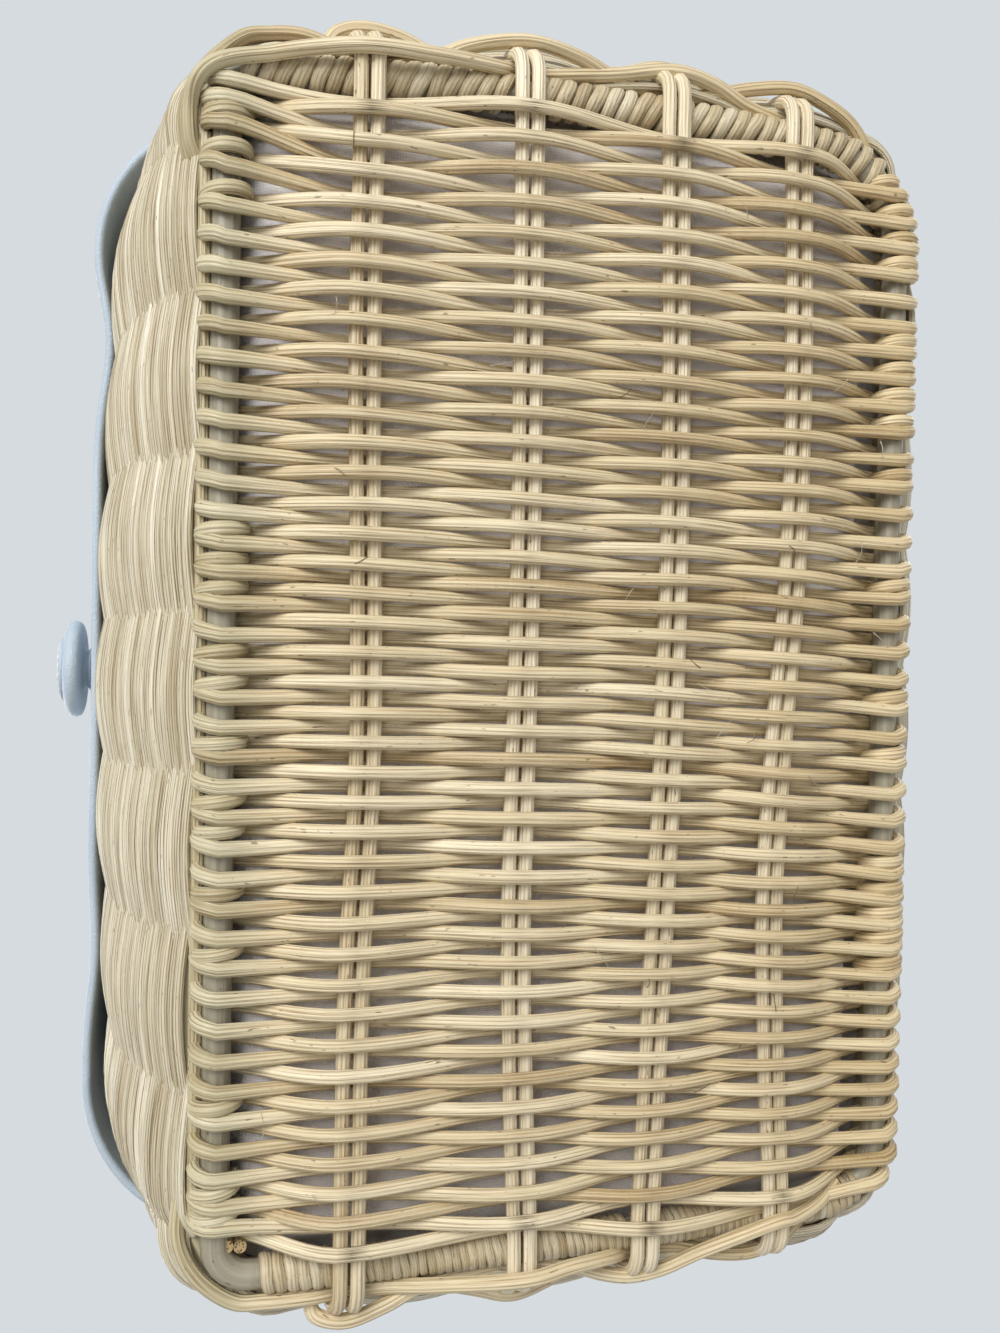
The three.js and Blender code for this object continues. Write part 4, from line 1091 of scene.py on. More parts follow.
def makeLooseBits():
    draw = random.Random(77)
    lines = []
    for x, inside in loose["ends"]:
        levels = np.linspace(loose["endLow"], loose["endHigh"], loose["endPoints"])
        rod = [(x, frontY + inside, z) for z in levels]
        lines.append(makeLine(rod, loose["endRadius"], loose["endSeed"], (1, 0, 0)))
    finishPiece(sweepRods("cutEnds", lines, caneEnd, loose["endSides"]), "basket", "rattan")
    fibres = {True: [], False: []}
    for _ in range(loose["fibres"]):
        x = draw.uniform(-loose["spanX"], loose["spanX"])
        y = draw.uniform(frontY + loose["inside"], backY - loose["inside"])
        turn = draw.uniform(0, 2 * math.pi)
        reach, curl = draw.uniform(*loose["reach"]), draw.uniform(*loose["curl"])
        line = []
        for t in np.linspace(0, 1, loose["fibrePoints"]):
            ahead, aside = reach * t, curl * t * t
            line.append((x + ahead * math.cos(turn) - aside * math.sin(turn),
                         y + ahead * math.sin(turn) + aside * math.cos(turn),
                         loose["height"] - loose["droop"] * math.sin(math.pi * t)))
        radius = loose["fibreRadius"] * np.linspace(1.0, loose["fibreTip"], loose["fibrePoints"])
        fibres[draw.random() < loose["darkShare"]].append(makeLine(line, radius, draw.random(), (0, 0, 1)))
    finishPiece(sweepRods("darkFibres", fibres[True], darkFibre, loose["fibreSides"]), "basket", "rattan")
    finishPiece(sweepRods("paleFibres", fibres[False], rattanPale, loose["fibreSides"]), "basket", "rattan")


makeLooseBits()
print("ends wound")

# wall: tight rows of rods, in front of one stake and behind the next
wall = {"columns": 29, "pitch": 2.1, "radius": 1.07, "flatness": 0.8, "depth": 1.8, "proud": 0.3,
        "segments": 10, "sides": 7, "firstColumnX": -3.6, "foot": -0.9, "underTop": 0.8,
        "samples": 600, "overlap": 1.2, "thickness": (0.94, 1.05), "levelStray": 0.16,
        "proudStray": 0.22, "sag": 0.25}


def makeWall():
    draw = random.Random(57)
    zs = np.linspace(hoopZ + wall["foot"], bag["wallTop"] - wall["underTop"], wall["samples"])
    outs = np.array([wallOuter(z) for z in zs])
    climb = lengthAlong(np.stack([outs, zs], 1))
    slope = np.gradient(outs, zs)
    lengths = partLengths(bag["columnReach"])
    width = sum(lengths) / wall["columns"]
    start = lengths[0] + lengths[1] + lengths[2] / 2 + wall["firstColumnX"]  # a column's middle on the front
    shares = np.linspace(-wall["overlap"], wall["overlap"], wall["segments"] + 1)
    halves = {"Front": [], "Back": []}
    for column in range(wall["columns"]):
        places = [walkRound(start + (column + 0.5 * v) * width, bag["columnReach"]) for v in shares]
        middle = walkRound(start + column * width, bag["columnReach"])
        half = halves["Front" if middle["y"] < middleY else "Back"]
        level = 0.5 * wall["pitch"] * (column / wall["columns"] + column % 2)
        while level < climb[-1]:
            z0 = float(np.interp(level + draw.uniform(-wall["levelStray"], wall["levelStray"]), climb, zs))
            lean = float(np.interp(z0, zs, slope))
            normalOut, normalZ = 1 / math.hypot(1, lean), -lean / math.hypot(1, lean)
            thick = wall["radius"] * draw.uniform(*wall["thickness"])
            proud = wall["proud"] + draw.uniform(-wall["proudStray"], wall["proudStray"])
            sag = draw.uniform(-wall["sag"], wall["sag"])
            line = []
            for v, place in zip(shares, places):
                bulge = math.cos(math.pi * v / 2)
                depth = proud - thick * wall["flatness"] + wall["depth"] * (bulge - 1)
                z = z0 + depth * normalZ + sag * bulge
                line.append(standOut(place, wallOuter(z0) + depth * normalOut, z))
            upWall = [(p["nx"] * lean, p["ny"] * lean, 1.0) for p in places]
            half.append(makeLine(bowEnds(line), thick, draw.random(), upWall))
            level += wall["pitch"]
    for label, nodes in (("Front", ["wall_weave"]), ("Back", [])):
        obj = sweepRods("wallWeave" + label, halves[label], rattanWall, wall["sides"], wall["flatness"])
        finishPiece(obj, "basket", "rattan", *nodes)
    print("wall rods", len(halves["Front"]) + len(halves["Back"]))


makeWall()

# what lies behind the rods: the inner half of the wall
core = {"spread": 20.0, "step": 9.0, "rises": (1.5, 4, 8, 13, 20, 30, 44, 62, 84, 108, 128), "behind": 3.2,
        "innerRise": 11, "inside": 0.4, "footOut": 3.6, "footRise": 8.6}


def makeWallCore():
    places = roundPlaces(core["spread"], core["step"])
    levels = [hoopZ + rise for rise in core["rises"]] + [bag["wallTop"]]
    section = [(wallOuter(z) - core["behind"], z) for z in levels]
    section += [(wallInner(z) + core["inside"], z) for z in levels[::-1] if z > hoopZ + core["innerRise"]]
    section.append((core["footOut"], hoopZ + core["footRise"]))
    points = bowEnds([standOut(p, out, z) for out, z in section for p in places])
    obj = meshPiece("wallCore", points, loftFaces(len(section), len(places), True), rattan)
    finishPiece(outward(obj), "basket", "rattan")


makeWallCore()

# rim: four rods laid round each other, and rows of rod inside, between the lining and the rim
rim = {"strands": 4, "turns": 17, "radius": 2.35, "outSwing": 3.0, "upSwing": 2.05, "middleOut": 21.54,
       "middleZ": 154.8, "step": 2.2, "sides": 9, "insideRows": (146.6, 148.9), "insideOut": 0.9,
       "insideRadius": 1.25, "seed": 0.11, "seedStep": 0.23, "insideSeed": 0.4}


def makeRim():
    places = roundPlaces(rim["middleOut"], rim["step"])
    lines = []
    for strand in range(rim["strands"]):
        line = []
        for i, place in enumerate(places):
            turn = 2 * math.pi * (rim["turns"] * i / len(places) + strand / rim["strands"])
            out = rim["middleOut"] + rim["outSwing"] * math.cos(turn)
            line.append(standOut(place, out, rim["middleZ"] + rim["upSwing"] * math.sin(turn)))
        lines.append(makeLine(line, rim["radius"], rim["seed"] + rim["seedStep"] * strand, (0, 0, 1), True))
    for z in rim["insideRows"]:
        row = [standOut(p, wallInner(z) + rim["insideOut"], z) for p in places[::2]]
        lines.append(makeLine(row, rim["insideRadius"], rim["insideSeed"] + z % 1, (0, 0, 1), True))
    finishPiece(sweepRods("rimBorder", lines, rattanWall, rim["sides"]), "basket", "rattan", "rim_border")


makeRim()
print("wall and rim made")

# lining: a cloth pouch on the weave, up the wall and sewn under the rim
lining = {
    "floor": 9.75, "cloth": 0.7, "wrinkle": 0.55, "spread": 18.0, "step": 5.0, "floorOut": -8.5,
    "floorRise": 0.25, "middleRise": 0.4, "wallSlack": 2.2, "wallGap": 0.75,
    "slackFrom": 18, "slackOver": 128,
    "floorShares": (0.04, 0.12, 0.22, 0.32, 0.42, 0.52, 0.62, 0.72, 0.82, 0.91, 1.0),
    "turnUp": ((-5.5, 12.2), (-2.4, 15.7), (0.2, 17.9), (2.5, 18.5)),  # out and height
    "levels": (21, 25, 30, 37, 46, 57, 70, 84, 98, 112, 126, 136, 142, 146),
    "floorFold": {"broad": (0.05, 0.09, 2.0), "fine": (0.13, 0.05, 8.0), "fineShare": 0.6, "lift": 0.35},
    "wallFold": {"broad": (0.21, 0.018, 5.0), "fine": (0.07, 0.05, 1.0), "fineShare": 0.5, "lift": 0.1},
}


def foldAt(spec, x, y):
    fold = wobble(spec["broad"], x, y) + spec["fineShare"] * wobble(spec["fine"], x, y)
    return max(0.0, fold + spec["lift"])


def makeLining():
    places = roundPlaces(lining["spread"], lining["step"])
    count = len(places)
    points = []
    middle = np.array((0.0, middleY))
    floorEdge = [np.array(standOut(p, lining["floorOut"], 0.0, False)[:2]) for p in places]
    for share in lining["floorShares"]:
        for edge in floorEdge:
            x, y = middle + (edge - middle) * share
            rise = lining["wrinkle"] * foldAt(lining["floorFold"], x, y) + lining["floorRise"]
            points.append((x, y, lining["floor"] + rise))
    points += [standOut(p, out, z) for out, z in lining["turnUp"] for p in places]
    for z in lining["levels"]:
        belly = math.sin(math.pi * clamped((z - lining["slackFrom"]) / lining["slackOver"]))
        for i, place in enumerate(places):
            slack = lining["wrinkle"] * lining["wallSlack"] * foldAt(lining["wallFold"], i, z) * belly
            points.append(standOut(place, wallInner(z) - lining["wallGap"] - slack, z))
    faces = loftFaces(len(points) // count, count)
    points = bowEnds(points) + [(middle[0], middle[1], lining["floor"] + lining["middleRise"])]
    faces += [((j + 1) % count, j, len(points) - 1) for j in range(count)]
    obj = meshPiece("liningPouch", points, faces, liningCloth)
    thicken = obj.modifiers.new("cloth", "SOLIDIFY")
    thicken.thickness = lining["cloth"] * mm
    thicken.offset = 0.0
    bake(obj)
    finishPiece(obj, "basket", "lining", "lining")
    return obj, 0.5 * sum(p.area for p in obj.data.polygons)


liningPiece, liningArea = makeLining()
print("lining area", round(liningArea, 4))

# lid skirt with the deep front flap, cut from one piece of leather
skirt = {
    "flapEdge": 88.0, "endEdge": 147.0, "bend": 11.0, "lean": 1.7, "fullness": 1.6, "slack": 0.5,
    "slackWaver": (0.02, 0.02, 0.03), "stitchInset": 3.4, "seamInset": 3.0, "proud": 0.12,
    "endTurn": (0.04, 0.34), "roundSteps": 5, "topRound": 0.3, "stitchAhead": 0.5,
    "shoulder": ((7.6, 0.0), (4.4, 0.2), (1.5, 1.5), (0.25, 4.5)),  # in from the face, down from the top
    "levels": (0.25, 0.5, 0.75, 0.92, 1.0),
    "waves": ((84, 15, -2.3), (108, 12, 1.0), (-72, 14, -0.9), (-100, 16, 1.0)),  # x, half width, out
    "steps": (("left", 44), ("leftCorner", 16), ("front", 48), ("frontCorner", 16), ("right", 44)),
}


def flapShare(place):
    if place["part"] not in ("left", "right"):
        return 1.0
    back = place["share"] if place["part"] == "right" else 1 - place["share"]
    return 1 - smoothShare(back, *skirt["endTurn"])


def skirtOuter(place):
    top, reach = bag["lidTop"], bag["lidReach"]
    bendZ = top - skirt["bend"]
    low = skirt["endEdge"] + (skirt["flapEdge"] - skirt["endEdge"]) * flapShare(place)
    isCorner = place["part"].endswith("Corner")
    corner = skirt["fullness"] * math.sin(math.pi * place["share"]) if isCorner else 0.0
    wave = sum(out * math.exp(-((place["x"] - x) / half) ** 2) for x, half, out in skirt["waves"])
    swing = skirt["lean"] + corner + wave * max(-place["ny"], 0.0) ** 2
    knots = [(bag["seamOut"] + bag["seamGap"], top - bag["seamGap"])]
    knots += [(reach - inset, top - drop) for inset, drop in skirt["shoulder"]] + [(reach, bendZ)]
    for share in skirt["levels"]:
        z = bendZ + (low - bendZ) * share
        lean = smoothShare((bendZ - z) / (bendZ - skirt["flapEdge"]), 0, 1)
        slack = skirt["slack"] * wobble(skirt["slackWaver"], place["x"], place["y"], z)
        knots.append((reach + (swing + slack) * lean, z))
    return throughPoints(knots, steps=3)


def thickSection(line, thick):
    run = unit(np.gradient(line, axis=0))
    normal = np.stack([run[:, 1], -run[:, 0]], 1)  # towards the inside
    lowEdge, highEdge = [], []
    for i in range(1, skirt["roundSteps"]):
        angle = math.pi * i / skirt["roundSteps"]
        across, ahead = math.cos(angle), math.sin(angle)
        lowEdge.append(line[-1] + thick / 2 * (normal[-1] * (1 - across) + run[-1] * ahead))
        highEdge.append(line[0] + thick / 2 * normal[0] * (1 + across) - run[0] * skirt["topRound"] * ahead)
    return np.vstack([line, lowEdge, (line + thick * normal)[::-1], highEdge])


def makeSkirt():
    places = [placeAt(part, i / steps) for part, steps in skirt["steps"] for i in range(steps)]
    places.append(placeAt("right", 1.0))
    rings, edgeRow, seamRow = [], [], []
    for place in places:
        line = skirtOuter(place)
        rings.append([standOut(place, out, z, False) for out, z in thickSection(line, bag["leather"])])
        edgeAt = lengthAlong(line)[-1] - skirt["stitchInset"]
        for row, at in ((edgeRow, edgeAt), (seamRow, skirt["seamInset"])):
            here = pointAlong(line, at)
            fall = pointAlong(line, at + skirt["stitchAhead"]) - here
            fall /= math.hypot(*fall)
            out, z = here[0] - fall[1] * skirt["proud"], here[1] + fall[0] * skirt["proud"]
            face = (-fall[1] * place["nx"], -fall[1] * place["ny"], fall[0])
            row.append((standOut(place, out, z, False), face))
    finishPiece(loftPiece("lidSkirt", rings, leather), "lid", "leather", "lid_skirt")
    stitches = sewRows("skirtStitches", [sewLine(*zip(*edgeRow)), sewLine(*zip(*seamRow))])
    finishPiece(stitches, "lid", "leather")


makeSkirt()

# lid top: a crowned leather panel inside the seam; its shares run from the middle to the edge
lidTop = {
    "crown": 3.0, "spread": 20.0, "step": 4.0, "middleY": middleY + 2.0, "cornerTurn": (0.0, 0.45),
    "dent": 0.5, "dentWaver": (0.018, 0.022, 6.0),
    "under": (0.05, 0.2, 0.35, 0.5, 0.65, 0.78, 0.88, 0.95),
    "edgeLow": ((0.992, 0.05), (1.0, 0.6)), "edgeHigh": ((1.0, -0.7), (0.9965, -0.2), (0.99, 0.06)),
    "over": (0.97, 0.94, 0.88, 0.78, 0.65, 0.5, 0.35, 0.2, 0.05), "stitchShare": 0.965, "stitchRise": 0.1,
}


def panelOut(place):
    inside, outside = bag["seamOut"] - bag["seamGap"], bag["lidReach"]
    if place["part"] == "back":
        return outside
    if place["part"] not in ("rightCorner", "backCorner"):
        return inside
    share = place["share"] if place["part"] == "rightCorner" else 1 - place["share"]
    return inside + (outside - inside) * smoothShare(share, *lidTop["cornerTurn"])


def makeLidTop():
    places = roundPlaces(lidTop["spread"], lidTop["step"])
    edge = [np.array(standOut(p, panelOut(p), 0.0, False)) for p in places]
    middle = np.array((0.0, lidTop["middleY"], 0.0))
    low, high = bag["lidLow"], bag["lidTop"]

    def crownAt(share):
        return lidTop["crown"] * (1 - share ** 2)

    def ringAt(share, z, soft=0.0):
        ring = []
        for e in edge:
            x, y = (middle + (e - middle) * share)[:2]
            ring.append((x, y, z + soft * wobble(lidTop["dentWaver"], x, y)))
        return ring

    rings = [ringAt(share, low + crownAt(share)) for share in lidTop["under"]]
    rings += [ringAt(share, low + rise) for share, rise in lidTop["edgeLow"]]
    rings += [ringAt(share, high + rise) for share, rise in lidTop["edgeHigh"]]
    rings += [ringAt(share, high + crownAt(share), lidTop["dent"] * (1 - share)) for share in lidTop["over"]]
    finishPiece(loftPiece("lidTop", rings, leather), "lid", "leather", "lid_top")
    sewn = lidTop["stitchShare"]
    row = ringAt(sewn, high + crownAt(sewn) + lidTop["stitchRise"])
    finishPiece(sewRows("lidTopStitches", [sewLine(row, (0, 0, 1), True)]), "lid", "leather")


makeLidTop()
print("lid made")


# a line of sewing down one side, round two corners and up the other
def sewnRound(half, low, high, corner, down, up, flat):
    line = [(-half, high), (-half, low + corner)]
    line += [(-half + corner * (1 - math.cos(a)), low + corner * (1 - math.sin(a))) for a in down]
    line += [(-half + corner, low), (half - corner, low)] if flat else []
    line += [(half - corner * (1 - math.sin(a)), low + corner * (1 - math.cos(a))) for a in up]
    return line + [(half, low + corner), (half, high)]


# hinge: a leather strip sewn to the back of the wall and over the lid's back edge
hinge = {
    "half": 92.0, "low": 118.3, "corner": 9.0, "over": 15.0, "bendZ": 152.0, "steps": 64, "proud": 0.1,
    "wallShares": (0.0, 0.35, 0.7, 1.0), "overZ": 164.75, "overTurn": 0.8,
    "fold": ((0.3, 158.0), (0.1, 161.0), (-1.0, 163.3), (-3.4, 164.3), (-7.0, 164.55)),  # out and height
    "thinFrom": 14, "thinTo": 22, "thin": 1.9, "roundHigh": 0.7, "roundLow": 0.8,
    "stitchInset": 3.5, "stitchTop": 155.0, "stitchTurn": (0.2, 1.4, 5), "lidInset": 3.4, "lidStitchZ": 164.8,
    "lidStitchIn": 4, "lidStitchPoints": 40,
}


def makeHinge():
    faceY = backY + bag["lidReach"]
    rings = []
    for x in np.linspace(-hinge["half"], hinge["half"], hinge["steps"] + 1):
        inset = max(0.0, abs(x) - hinge["half"] + hinge["corner"])
        rise = hinge["corner"] - math.sqrt(max(hinge["corner"] ** 2 - inset ** 2, 0.0))
        low = hinge["low"] + rise
        high = hinge["bendZ"] - low
        line = [(faceY + hinge["proud"], low + high * share) for share in hinge["wallShares"]]
        line += [(faceY + out, z) for out, z in hinge["fold"]]
        line.append((faceY - hinge["over"] + rise * hinge["overTurn"], hinge["overZ"]))
        line = throughPoints(line, steps=4)
        run = unit(np.gradient(line, axis=0))
        normal = np.stack([-run[:, 1], run[:, 0]], 1)
        thinned = (hinge["thinFrom"], hinge["thinTo"]), (bag["leather"], hinge["thin"])
        thick = np.interp(np.arange(len(line)), *thinned)
        inner = line + normal * thick[:, None]
        highEnd = (line[-1] + inner[-1]) / 2 + run[-1] * hinge["roundHigh"]
        lowEnd = (line[0] + inner[0]) / 2 - run[0] * hinge["roundLow"]
        rings.append([(x, y, z) for y, z in np.vstack([line, [highEnd], inner[::-1], [lowEnd]])])
    obj = loftPiece("hingeLeather", rings, leather)
    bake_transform(obj)
    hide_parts("hinge_leather")
    inset, turn = hinge["stitchInset"], np.linspace(*hinge["stitchTurn"])
    reach, corner = hinge["half"] - inset, hinge["corner"] - inset
    trail = sewnRound(reach, hinge["low"] + inset, hinge["stitchTop"], corner, turn, turn, True)
    row = [(x, faceY + 2 * hinge["proud"], z) for x, z in trail]
    finishPiece(sewRows("hingeStitches", [sewLine(row, (0, 1, 0))]), "basket", "leather")
    reach -= hinge["lidStitchIn"]
    overY = faceY - hinge["over"] + hinge["lidInset"]
    over = [(x, overY, hinge["lidStitchZ"]) for x in np.linspace(-reach, reach, hinge["lidStitchPoints"])]
    finishPiece(sewRows("hingeLidStitches", [sewLine(over, (0, 0, 1))]), "lid", "leather")


makeHinge()


# round pieces turned about a line from back to front
def turnRound(name, profile, finish, faceY, height, segments=48, least=0.02):
    rings = []
    for radius, front in profile:
        radius = max(radius, least)
        turns = [2 * math.pi * i / segments for i in range(segments)]
        rings.append([(radius * math.cos(a), faceY - front, height + radius * math.sin(a)) for a in turns])
    return loftPiece(name, rings, finish)


# button: a leather covered disc on a shank, with a small stitched disc on its face
capBox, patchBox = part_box("button_cap"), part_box("button_patch")
button = {
    "height": 101.0, "flapY": capBox[1].y / mm, "radius": 13.0, "standOff": 1.8, "patch": 8.75,
    "thickness": (capBox[1].y - capBox[0].y) / mm - 1.8, "patchFace": patchBox[1].y / mm + 0.1,
    # radius, share of the stand-off and of the thickness
    "shank": ((2.8, 1.0, 0.5), (2.8, 0.0, 0.0), (6.0, 0.0, 0.0), (5.2, 0.4, 0.0), (5.0, 1.0, 0.0)),
    "underIn": 4.0, "dome": 0.05,
    # in from the edge, share of the thickness
    "round": ((1.8, 0.06), (0.6, 0.18), (0.1, 0.36), (0.0, 0.5), (0.15, 0.65), (0.8, 0.82), (2.2, 0.95),
              (4.0, 1.0)),
    "patchBack": -0.2, "patchFront": 1.15,
    "patchRound": ((0.0, -0.2), (0.0, 0.5), (0.35, 0.9), (1.0, 1.05)),  # in from the edge, forwards
    "stitchIn": 1.7, "stitchOut": 1.2, "stitchPoints": 40, "stitches": (2.75, 1.9, 0.6),
    # radius, forwards
    "rivet": [(0.0, 0.0), (4.6, 0.0), (5.0, 0.2), (5.0, 0.5), (2.5, 0.6)],
    "rivetRadius": 2.5, "rivetTip": 0.2,
    "snap": ((0.0, 0.0), (9.0, 0.0), (9.0, 1.2), (8.6, 1.7), (7.6, 1.8), (7.0, 1.5), (3.4, 1.5), (3.0, 1.1),
             (0.0, 1.1)),
    "rivetSegments": 32, "snapSegments": 40,
}


def makeButton():
    r, t, s, p = button["radius"], button["thickness"], button["standOff"], button["patch"]
    height, face = button["height"], button["patchFace"]
    profile = [(radius, s * off + t * share) for radius, off, share in button["shank"]]
    profile.append((r - button["underIn"], s + button["dome"]))
    profile += [(r - inset, s + share * t) for inset, share in button["round"]]
    profile.append((0.0, s + t + button["dome"]))
    cap = turnRound("buttonCap", throughPoints(profile, steps=2), leather, button["flapY"], height)
    finishPiece(cap, "lid", "leather", "button_cap")
    profile = [(0.0, button["patchBack"])] + [(p - inset, front) for inset, front in button["patchRound"]]
    profile.append((0.0, button["patchFront"]))
    finishPiece(turnRound("buttonPatch", profile, leather, face, height), "lid", "leather", "button_patch")
    reach = p - button["stitchIn"]
    ring = [(reach * math.cos(a), face - button["stitchOut"], height + reach * math.sin(a))
            for a in np.linspace(0, 2 * math.pi, button["stitchPoints"], False)]
    stitches = sewRows("buttonStitches", [sewLine(ring, (0, -1, 0), True)], *button["stitches"])
    finishPiece(stitches, "lid", "leather")
    low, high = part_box("button_post")
    length = (high.y - low.y) / mm
    profile = button["rivet"] + [(button["rivetRadius"], length - button["rivetTip"]), (0.0, length)]
    post = turnRound("buttonPost", profile, satinMetal, high.y / mm, height, button["rivetSegments"])
    finishPiece(post, "lid", "metal", "button_post")
    low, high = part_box("wall_snap")
    snap = turnRound("wallSnap", button["snap"], satinMetal, high.y / mm, height, button["snapSegments"])
    finishPiece(snap, "basket", "metal", "wall_snap")


makeButton()

# strap rings on folded leather tabs at both ends
strap = {
    "height": 128.0, "wire": 1.6, "wireSides": 14, "width": 26.0, "side": 5.0, "corner": 3.0, "tilt": 8.0,
    "tabWidth": 19.0, "drop": 25.0, "gap": 0.75, "wireGap": 0.3, "cutShare": 0.42, "columns": 25,
    "edgeRound": 0.35, "foldGap": 0.04, "stitchInset": 2.6, "stitchTop": -7.0, "stitchOut": 0.1,
    "stitches": (3.0, 2.1, 0.65), "sewnDown": (0.25, 1.57, 6), "sewnUp": (0.0, 1.3, 6), "wireSeed": 0.5,
    "wireStraight": 9, "wireBend": (0.3, 1.4, 4), "wireBow": 25, "foldSteps": 15, "insideSteps": 13,
    "insideFrom": -1.2, "backFoot": 0.3, "backTop": -2.0, "faceTop": -4.6, "faceFoot": 0.5, "tip": 0.6,
    "insideTop": -5.0, "midDrop": 0.5,
}


def wallEnd(z):
    return halfLength + wallOuter(z) + bowAt(z)


# the ring's wire as a D lying on its back, sideways and up from its straight side
def ringTrail():
    half, corner = strap["width"] / 2, strap["corner"]
    bend = [(half - corner + corner * math.sin(a), -corner + corner * math.cos(a))
            for a in np.linspace(*strap["wireBend"])]
    trail = [(y, 0.0) for y in np.linspace(-half + corner, half - corner, strap["wireStraight"])] + bend
    trail += [(half * math.cos(a), -corner - strap["side"] - half * math.sin(a))
              for a in np.linspace(0, math.pi, strap["wireBow"])]
    return trail + [(-y, z) for y, z in bend[::-1]]


# a tab's section, out from the wall and up from the ring, at this distance from its middle
def tabSection(y, edge, inner, outer):
    hide, gap = bag["leather"], strap["foldGap"]
    cut = strap["tabWidth"] * strap["cutShare"]
    inset = max(0.0, abs(y) - strap["tabWidth"] / 2 + cut)
    low = -strap["drop"] + cut - math.sqrt(max(cut ** 2 - inset ** 2, 0.0))
    faceTurn = math.acos(min((2 * hide - outer) / outer, 1.0))
    middle, insideTop = low * strap["midDrop"], strap["insideTop"]
    section = [(edge, low + strap["backFoot"]), (edge, middle), (edge, strap["backTop"])]
    section += [(outer + (outer - edge) * math.cos(a), (outer - edge) * math.sin(a))
                for a in np.linspace(math.pi, -faceTurn, strap["foldSteps"])]
    foot = 2 * hide - edge
    section += [(foot, strap["faceTop"]), (foot, middle), (foot, low + strap["faceFoot"])]
    section += [(foot - strap["tip"], low)]
    section += [(hide + gap, low), (hide + gap, insideTop)]
    section += [(outer + inner * math.cos(a), inner * math.sin(a))
                for a in np.linspace(strap["insideFrom"], math.pi, strap["insideSteps"])]
    return section + [(hide - gap, insideTop), (hide - gap, low), (strap["tip"], low)]


def makeStrapRings():
    lean = math.atan((wallEnd(strap["height"] - strap["drop"]) - wallEnd(strap["height"])) / strap["drop"])
    inner = strap["wire"] + strap["wireGap"]
    outer = inner + bag["leather"]
    footX = wallEnd(strap["height"]) + strap["gap"]
    tilt = math.radians(strap["tilt"])
    inset = strap["stitchInset"]
    sewn = sewnRound(strap["tabWidth"] / 2 - inset, -strap["drop"] + inset, strap["stitchTop"],
                     strap["tabWidth"] * strap["cutShare"] - inset, np.linspace(*strap["sewnDown"]),
                     np.linspace(*strap["sewnUp"]), False)

    def hang(x, y, z, end):
        px = x * math.cos(lean) - z * math.sin(lean) + footX
        pz = x * math.sin(lean) + z * math.cos(lean) + strap["height"]
        return (end * px, middleY + end * y, pz)

    for end, label in ((1, "right"), (-1, "left")):
        wire = [hang(outer - z * math.sin(tilt), y, z * math.cos(tilt), end) for y, z in ringTrail()]
        line = makeLine(wire, strap["wire"], strap["wireSeed"], (1, 0, 0), True)
        ring = sweepRods("strapRing_" + label, [line], satinMetal, strap["wireSides"])
        finishPiece(ring, "ring_" + label, "metal", "strap_ring_" + label)
        rings = []
        for i in range(strap["columns"]):
            y = strap["tabWidth"] * (i / (strap["columns"] - 1) - 0.5)
            edge = strap["edgeRound"] if i in (0, strap["columns"] - 1) else 0.0
            rings.append([hang(x, y, z, end) for x, z in tabSection(y, edge, inner, outer)])
        finishPiece(loftPiece("strapTab_" + label, rings, leather), "basket", "leather", "strap_tab_" + label)
        row = [hang(2 * bag["leather"] + strap["stitchOut"], y, z, end) for y, z in sewn]
        line = sewLine(row, (end * math.cos(lean), 0, math.sin(lean)))
        finishPiece(sewRows("tabStitches_" + label, [line], *strap["stitches"]), "basket", "leather")


makeStrapRings()
print("button, hinge and rings made")

# stage: a pale floor that only shows from above, soft lamps above and below, pale surroundings
stage = {"half": 4000, "floor": tint(226, 227, 228), "fade": (0.95, 0.3), "light": 0.5,
         "backdrop": tint(214, 219, 223)}


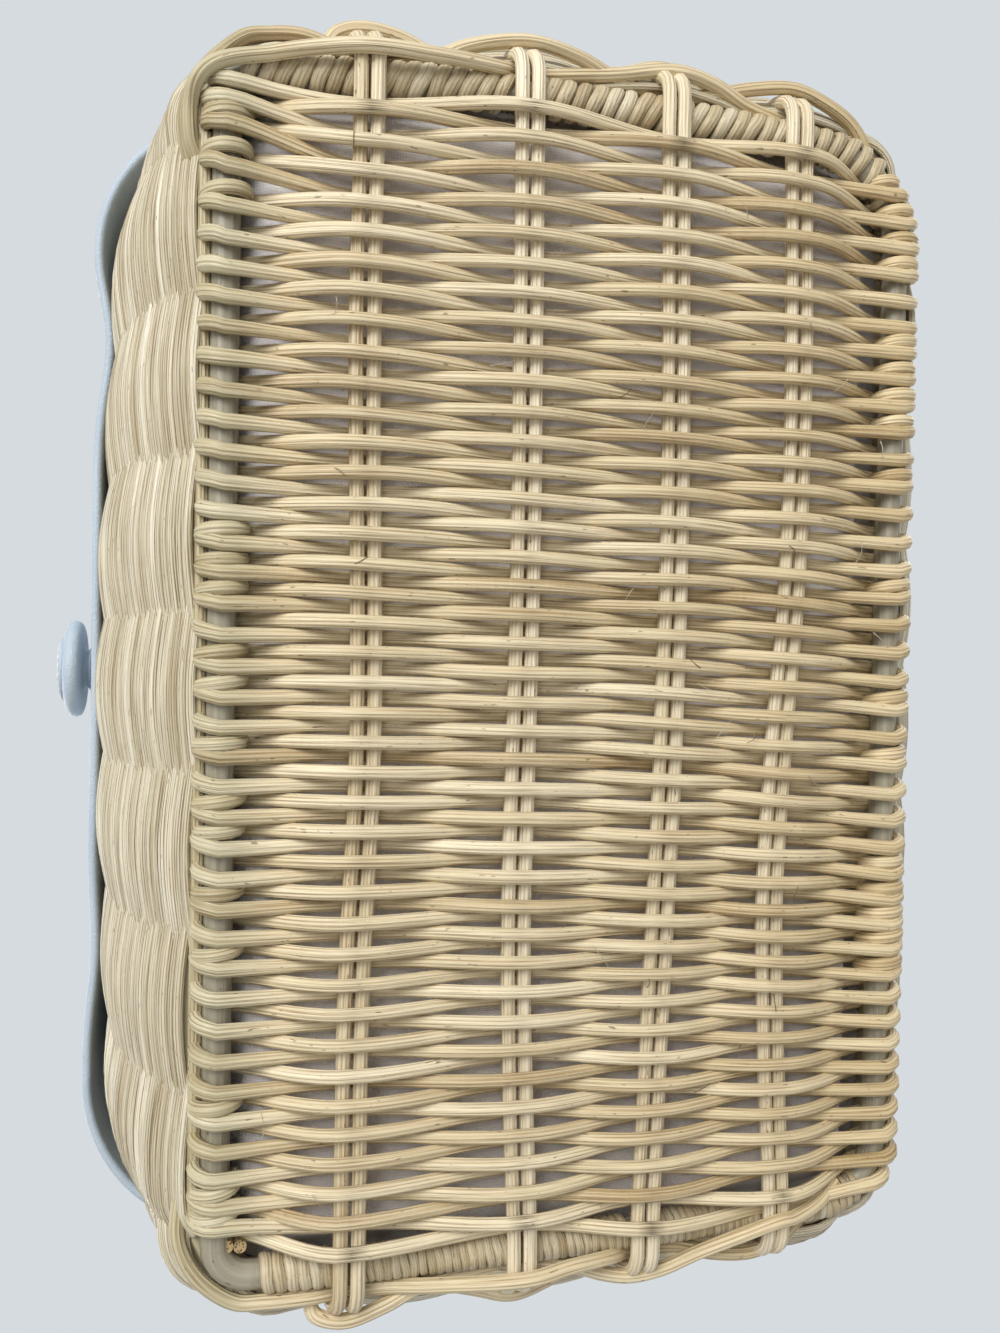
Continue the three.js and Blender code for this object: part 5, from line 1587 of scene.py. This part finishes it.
def makeFloor():
    material, tree, shader = newMaterial("paleFloor")
    tree.nodes.clear()
    seen = addNode(tree, "ShaderNodeLightPath").outputs["Is Camera Ray"]
    below = addNode(tree, "ShaderNodeNewGeometry").outputs["Backfacing"]
    away = addNode(tree, "ShaderNodeVectorMath", {0: objectPlace(tree)}, operation="LENGTH").outputs["Value"]
    shown = times(tree, seen, maths(tree, "SUBTRACT", 1.0, below))
    shown = times(tree, shown, ramp(tree, away, *stage["fade"]))
    clear = addNode(tree, "ShaderNodeBsdfTransparent").outputs[0]
    paint = addNode(tree, "ShaderNodeBsdfDiffuse", {"Color": stage["floor"]}).outputs[0]
    both = addNode(tree, "ShaderNodeMixShader", {0: shown, 1: clear, 2: paint}).outputs[0]
    addNode(tree, "ShaderNodeOutputMaterial", {"Surface": both})
    half = stage["half"]
    corners = [(-half, -half, 0), (half, -half, 0), (half, half, 0), (-half, half, 0)]
    obj = meshPiece("floor", corners, [(0, 1, 2, 3)], material, False)


makeFloor()

lamps = {
    "key": {"place": (0.75, -0.65, -0.85), "size": 0.8, "power": 17.0, "aim": (0.0, 0.0, 0.02)},
    "above": {"place": (-0.5, -0.7, 1.5), "size": 1.4, "power": 17.0, "aim": (0.0, 0.0, 0.08)},
    "back": {"place": (0.6, 1.1, 0.9), "size": 1.0, "power": 6.0, "aim": (0.0, 0.0, 0.08)},
}


def makeLamps():
    for name, spec in lamps.items():
        data = bpy.data.lights.new(name + "Lamp", "AREA")
        data.size = spec["size"]
        data.energy = spec["power"]
        lamp = newObject(name + "Lamp", data)
        aim = Vector(spec["aim"]) - Vector(spec["place"])
        lamp.location = spec["place"]
        lamp.rotation_euler = aim.to_track_quat("-Z", "Y").to_euler()


makeLamps()


def makeWorld():
    world = bpy.data.worlds.new("studio")
    bpy.context.scene.world = world
    world.use_nodes = True
    tree = world.node_tree
    tree.nodes.clear()
    path = addNode(tree, "ShaderNodeLightPath").outputs
    seen = maths(tree, "ADD", path["Is Camera Ray"], path["Is Glossy Ray"], True)
    white = tint(255, 255, 255)
    soft = addNode(tree, "ShaderNodeBackground", {"Color": white, "Strength": stage["light"]}).outputs[0]
    pale = addNode(tree, "ShaderNodeBackground", {"Color": stage["backdrop"], "Strength": 1.0}).outputs[0]
    both = addNode(tree, "ShaderNodeMixShader", {0: seen, 1: soft, 2: pale}).outputs[0]
    addNode(tree, "ShaderNodeOutputWorld", {"Surface": both})


makeWorld()
bpy.context.scene.view_settings.view_transform = "Standard"
print("stage set")
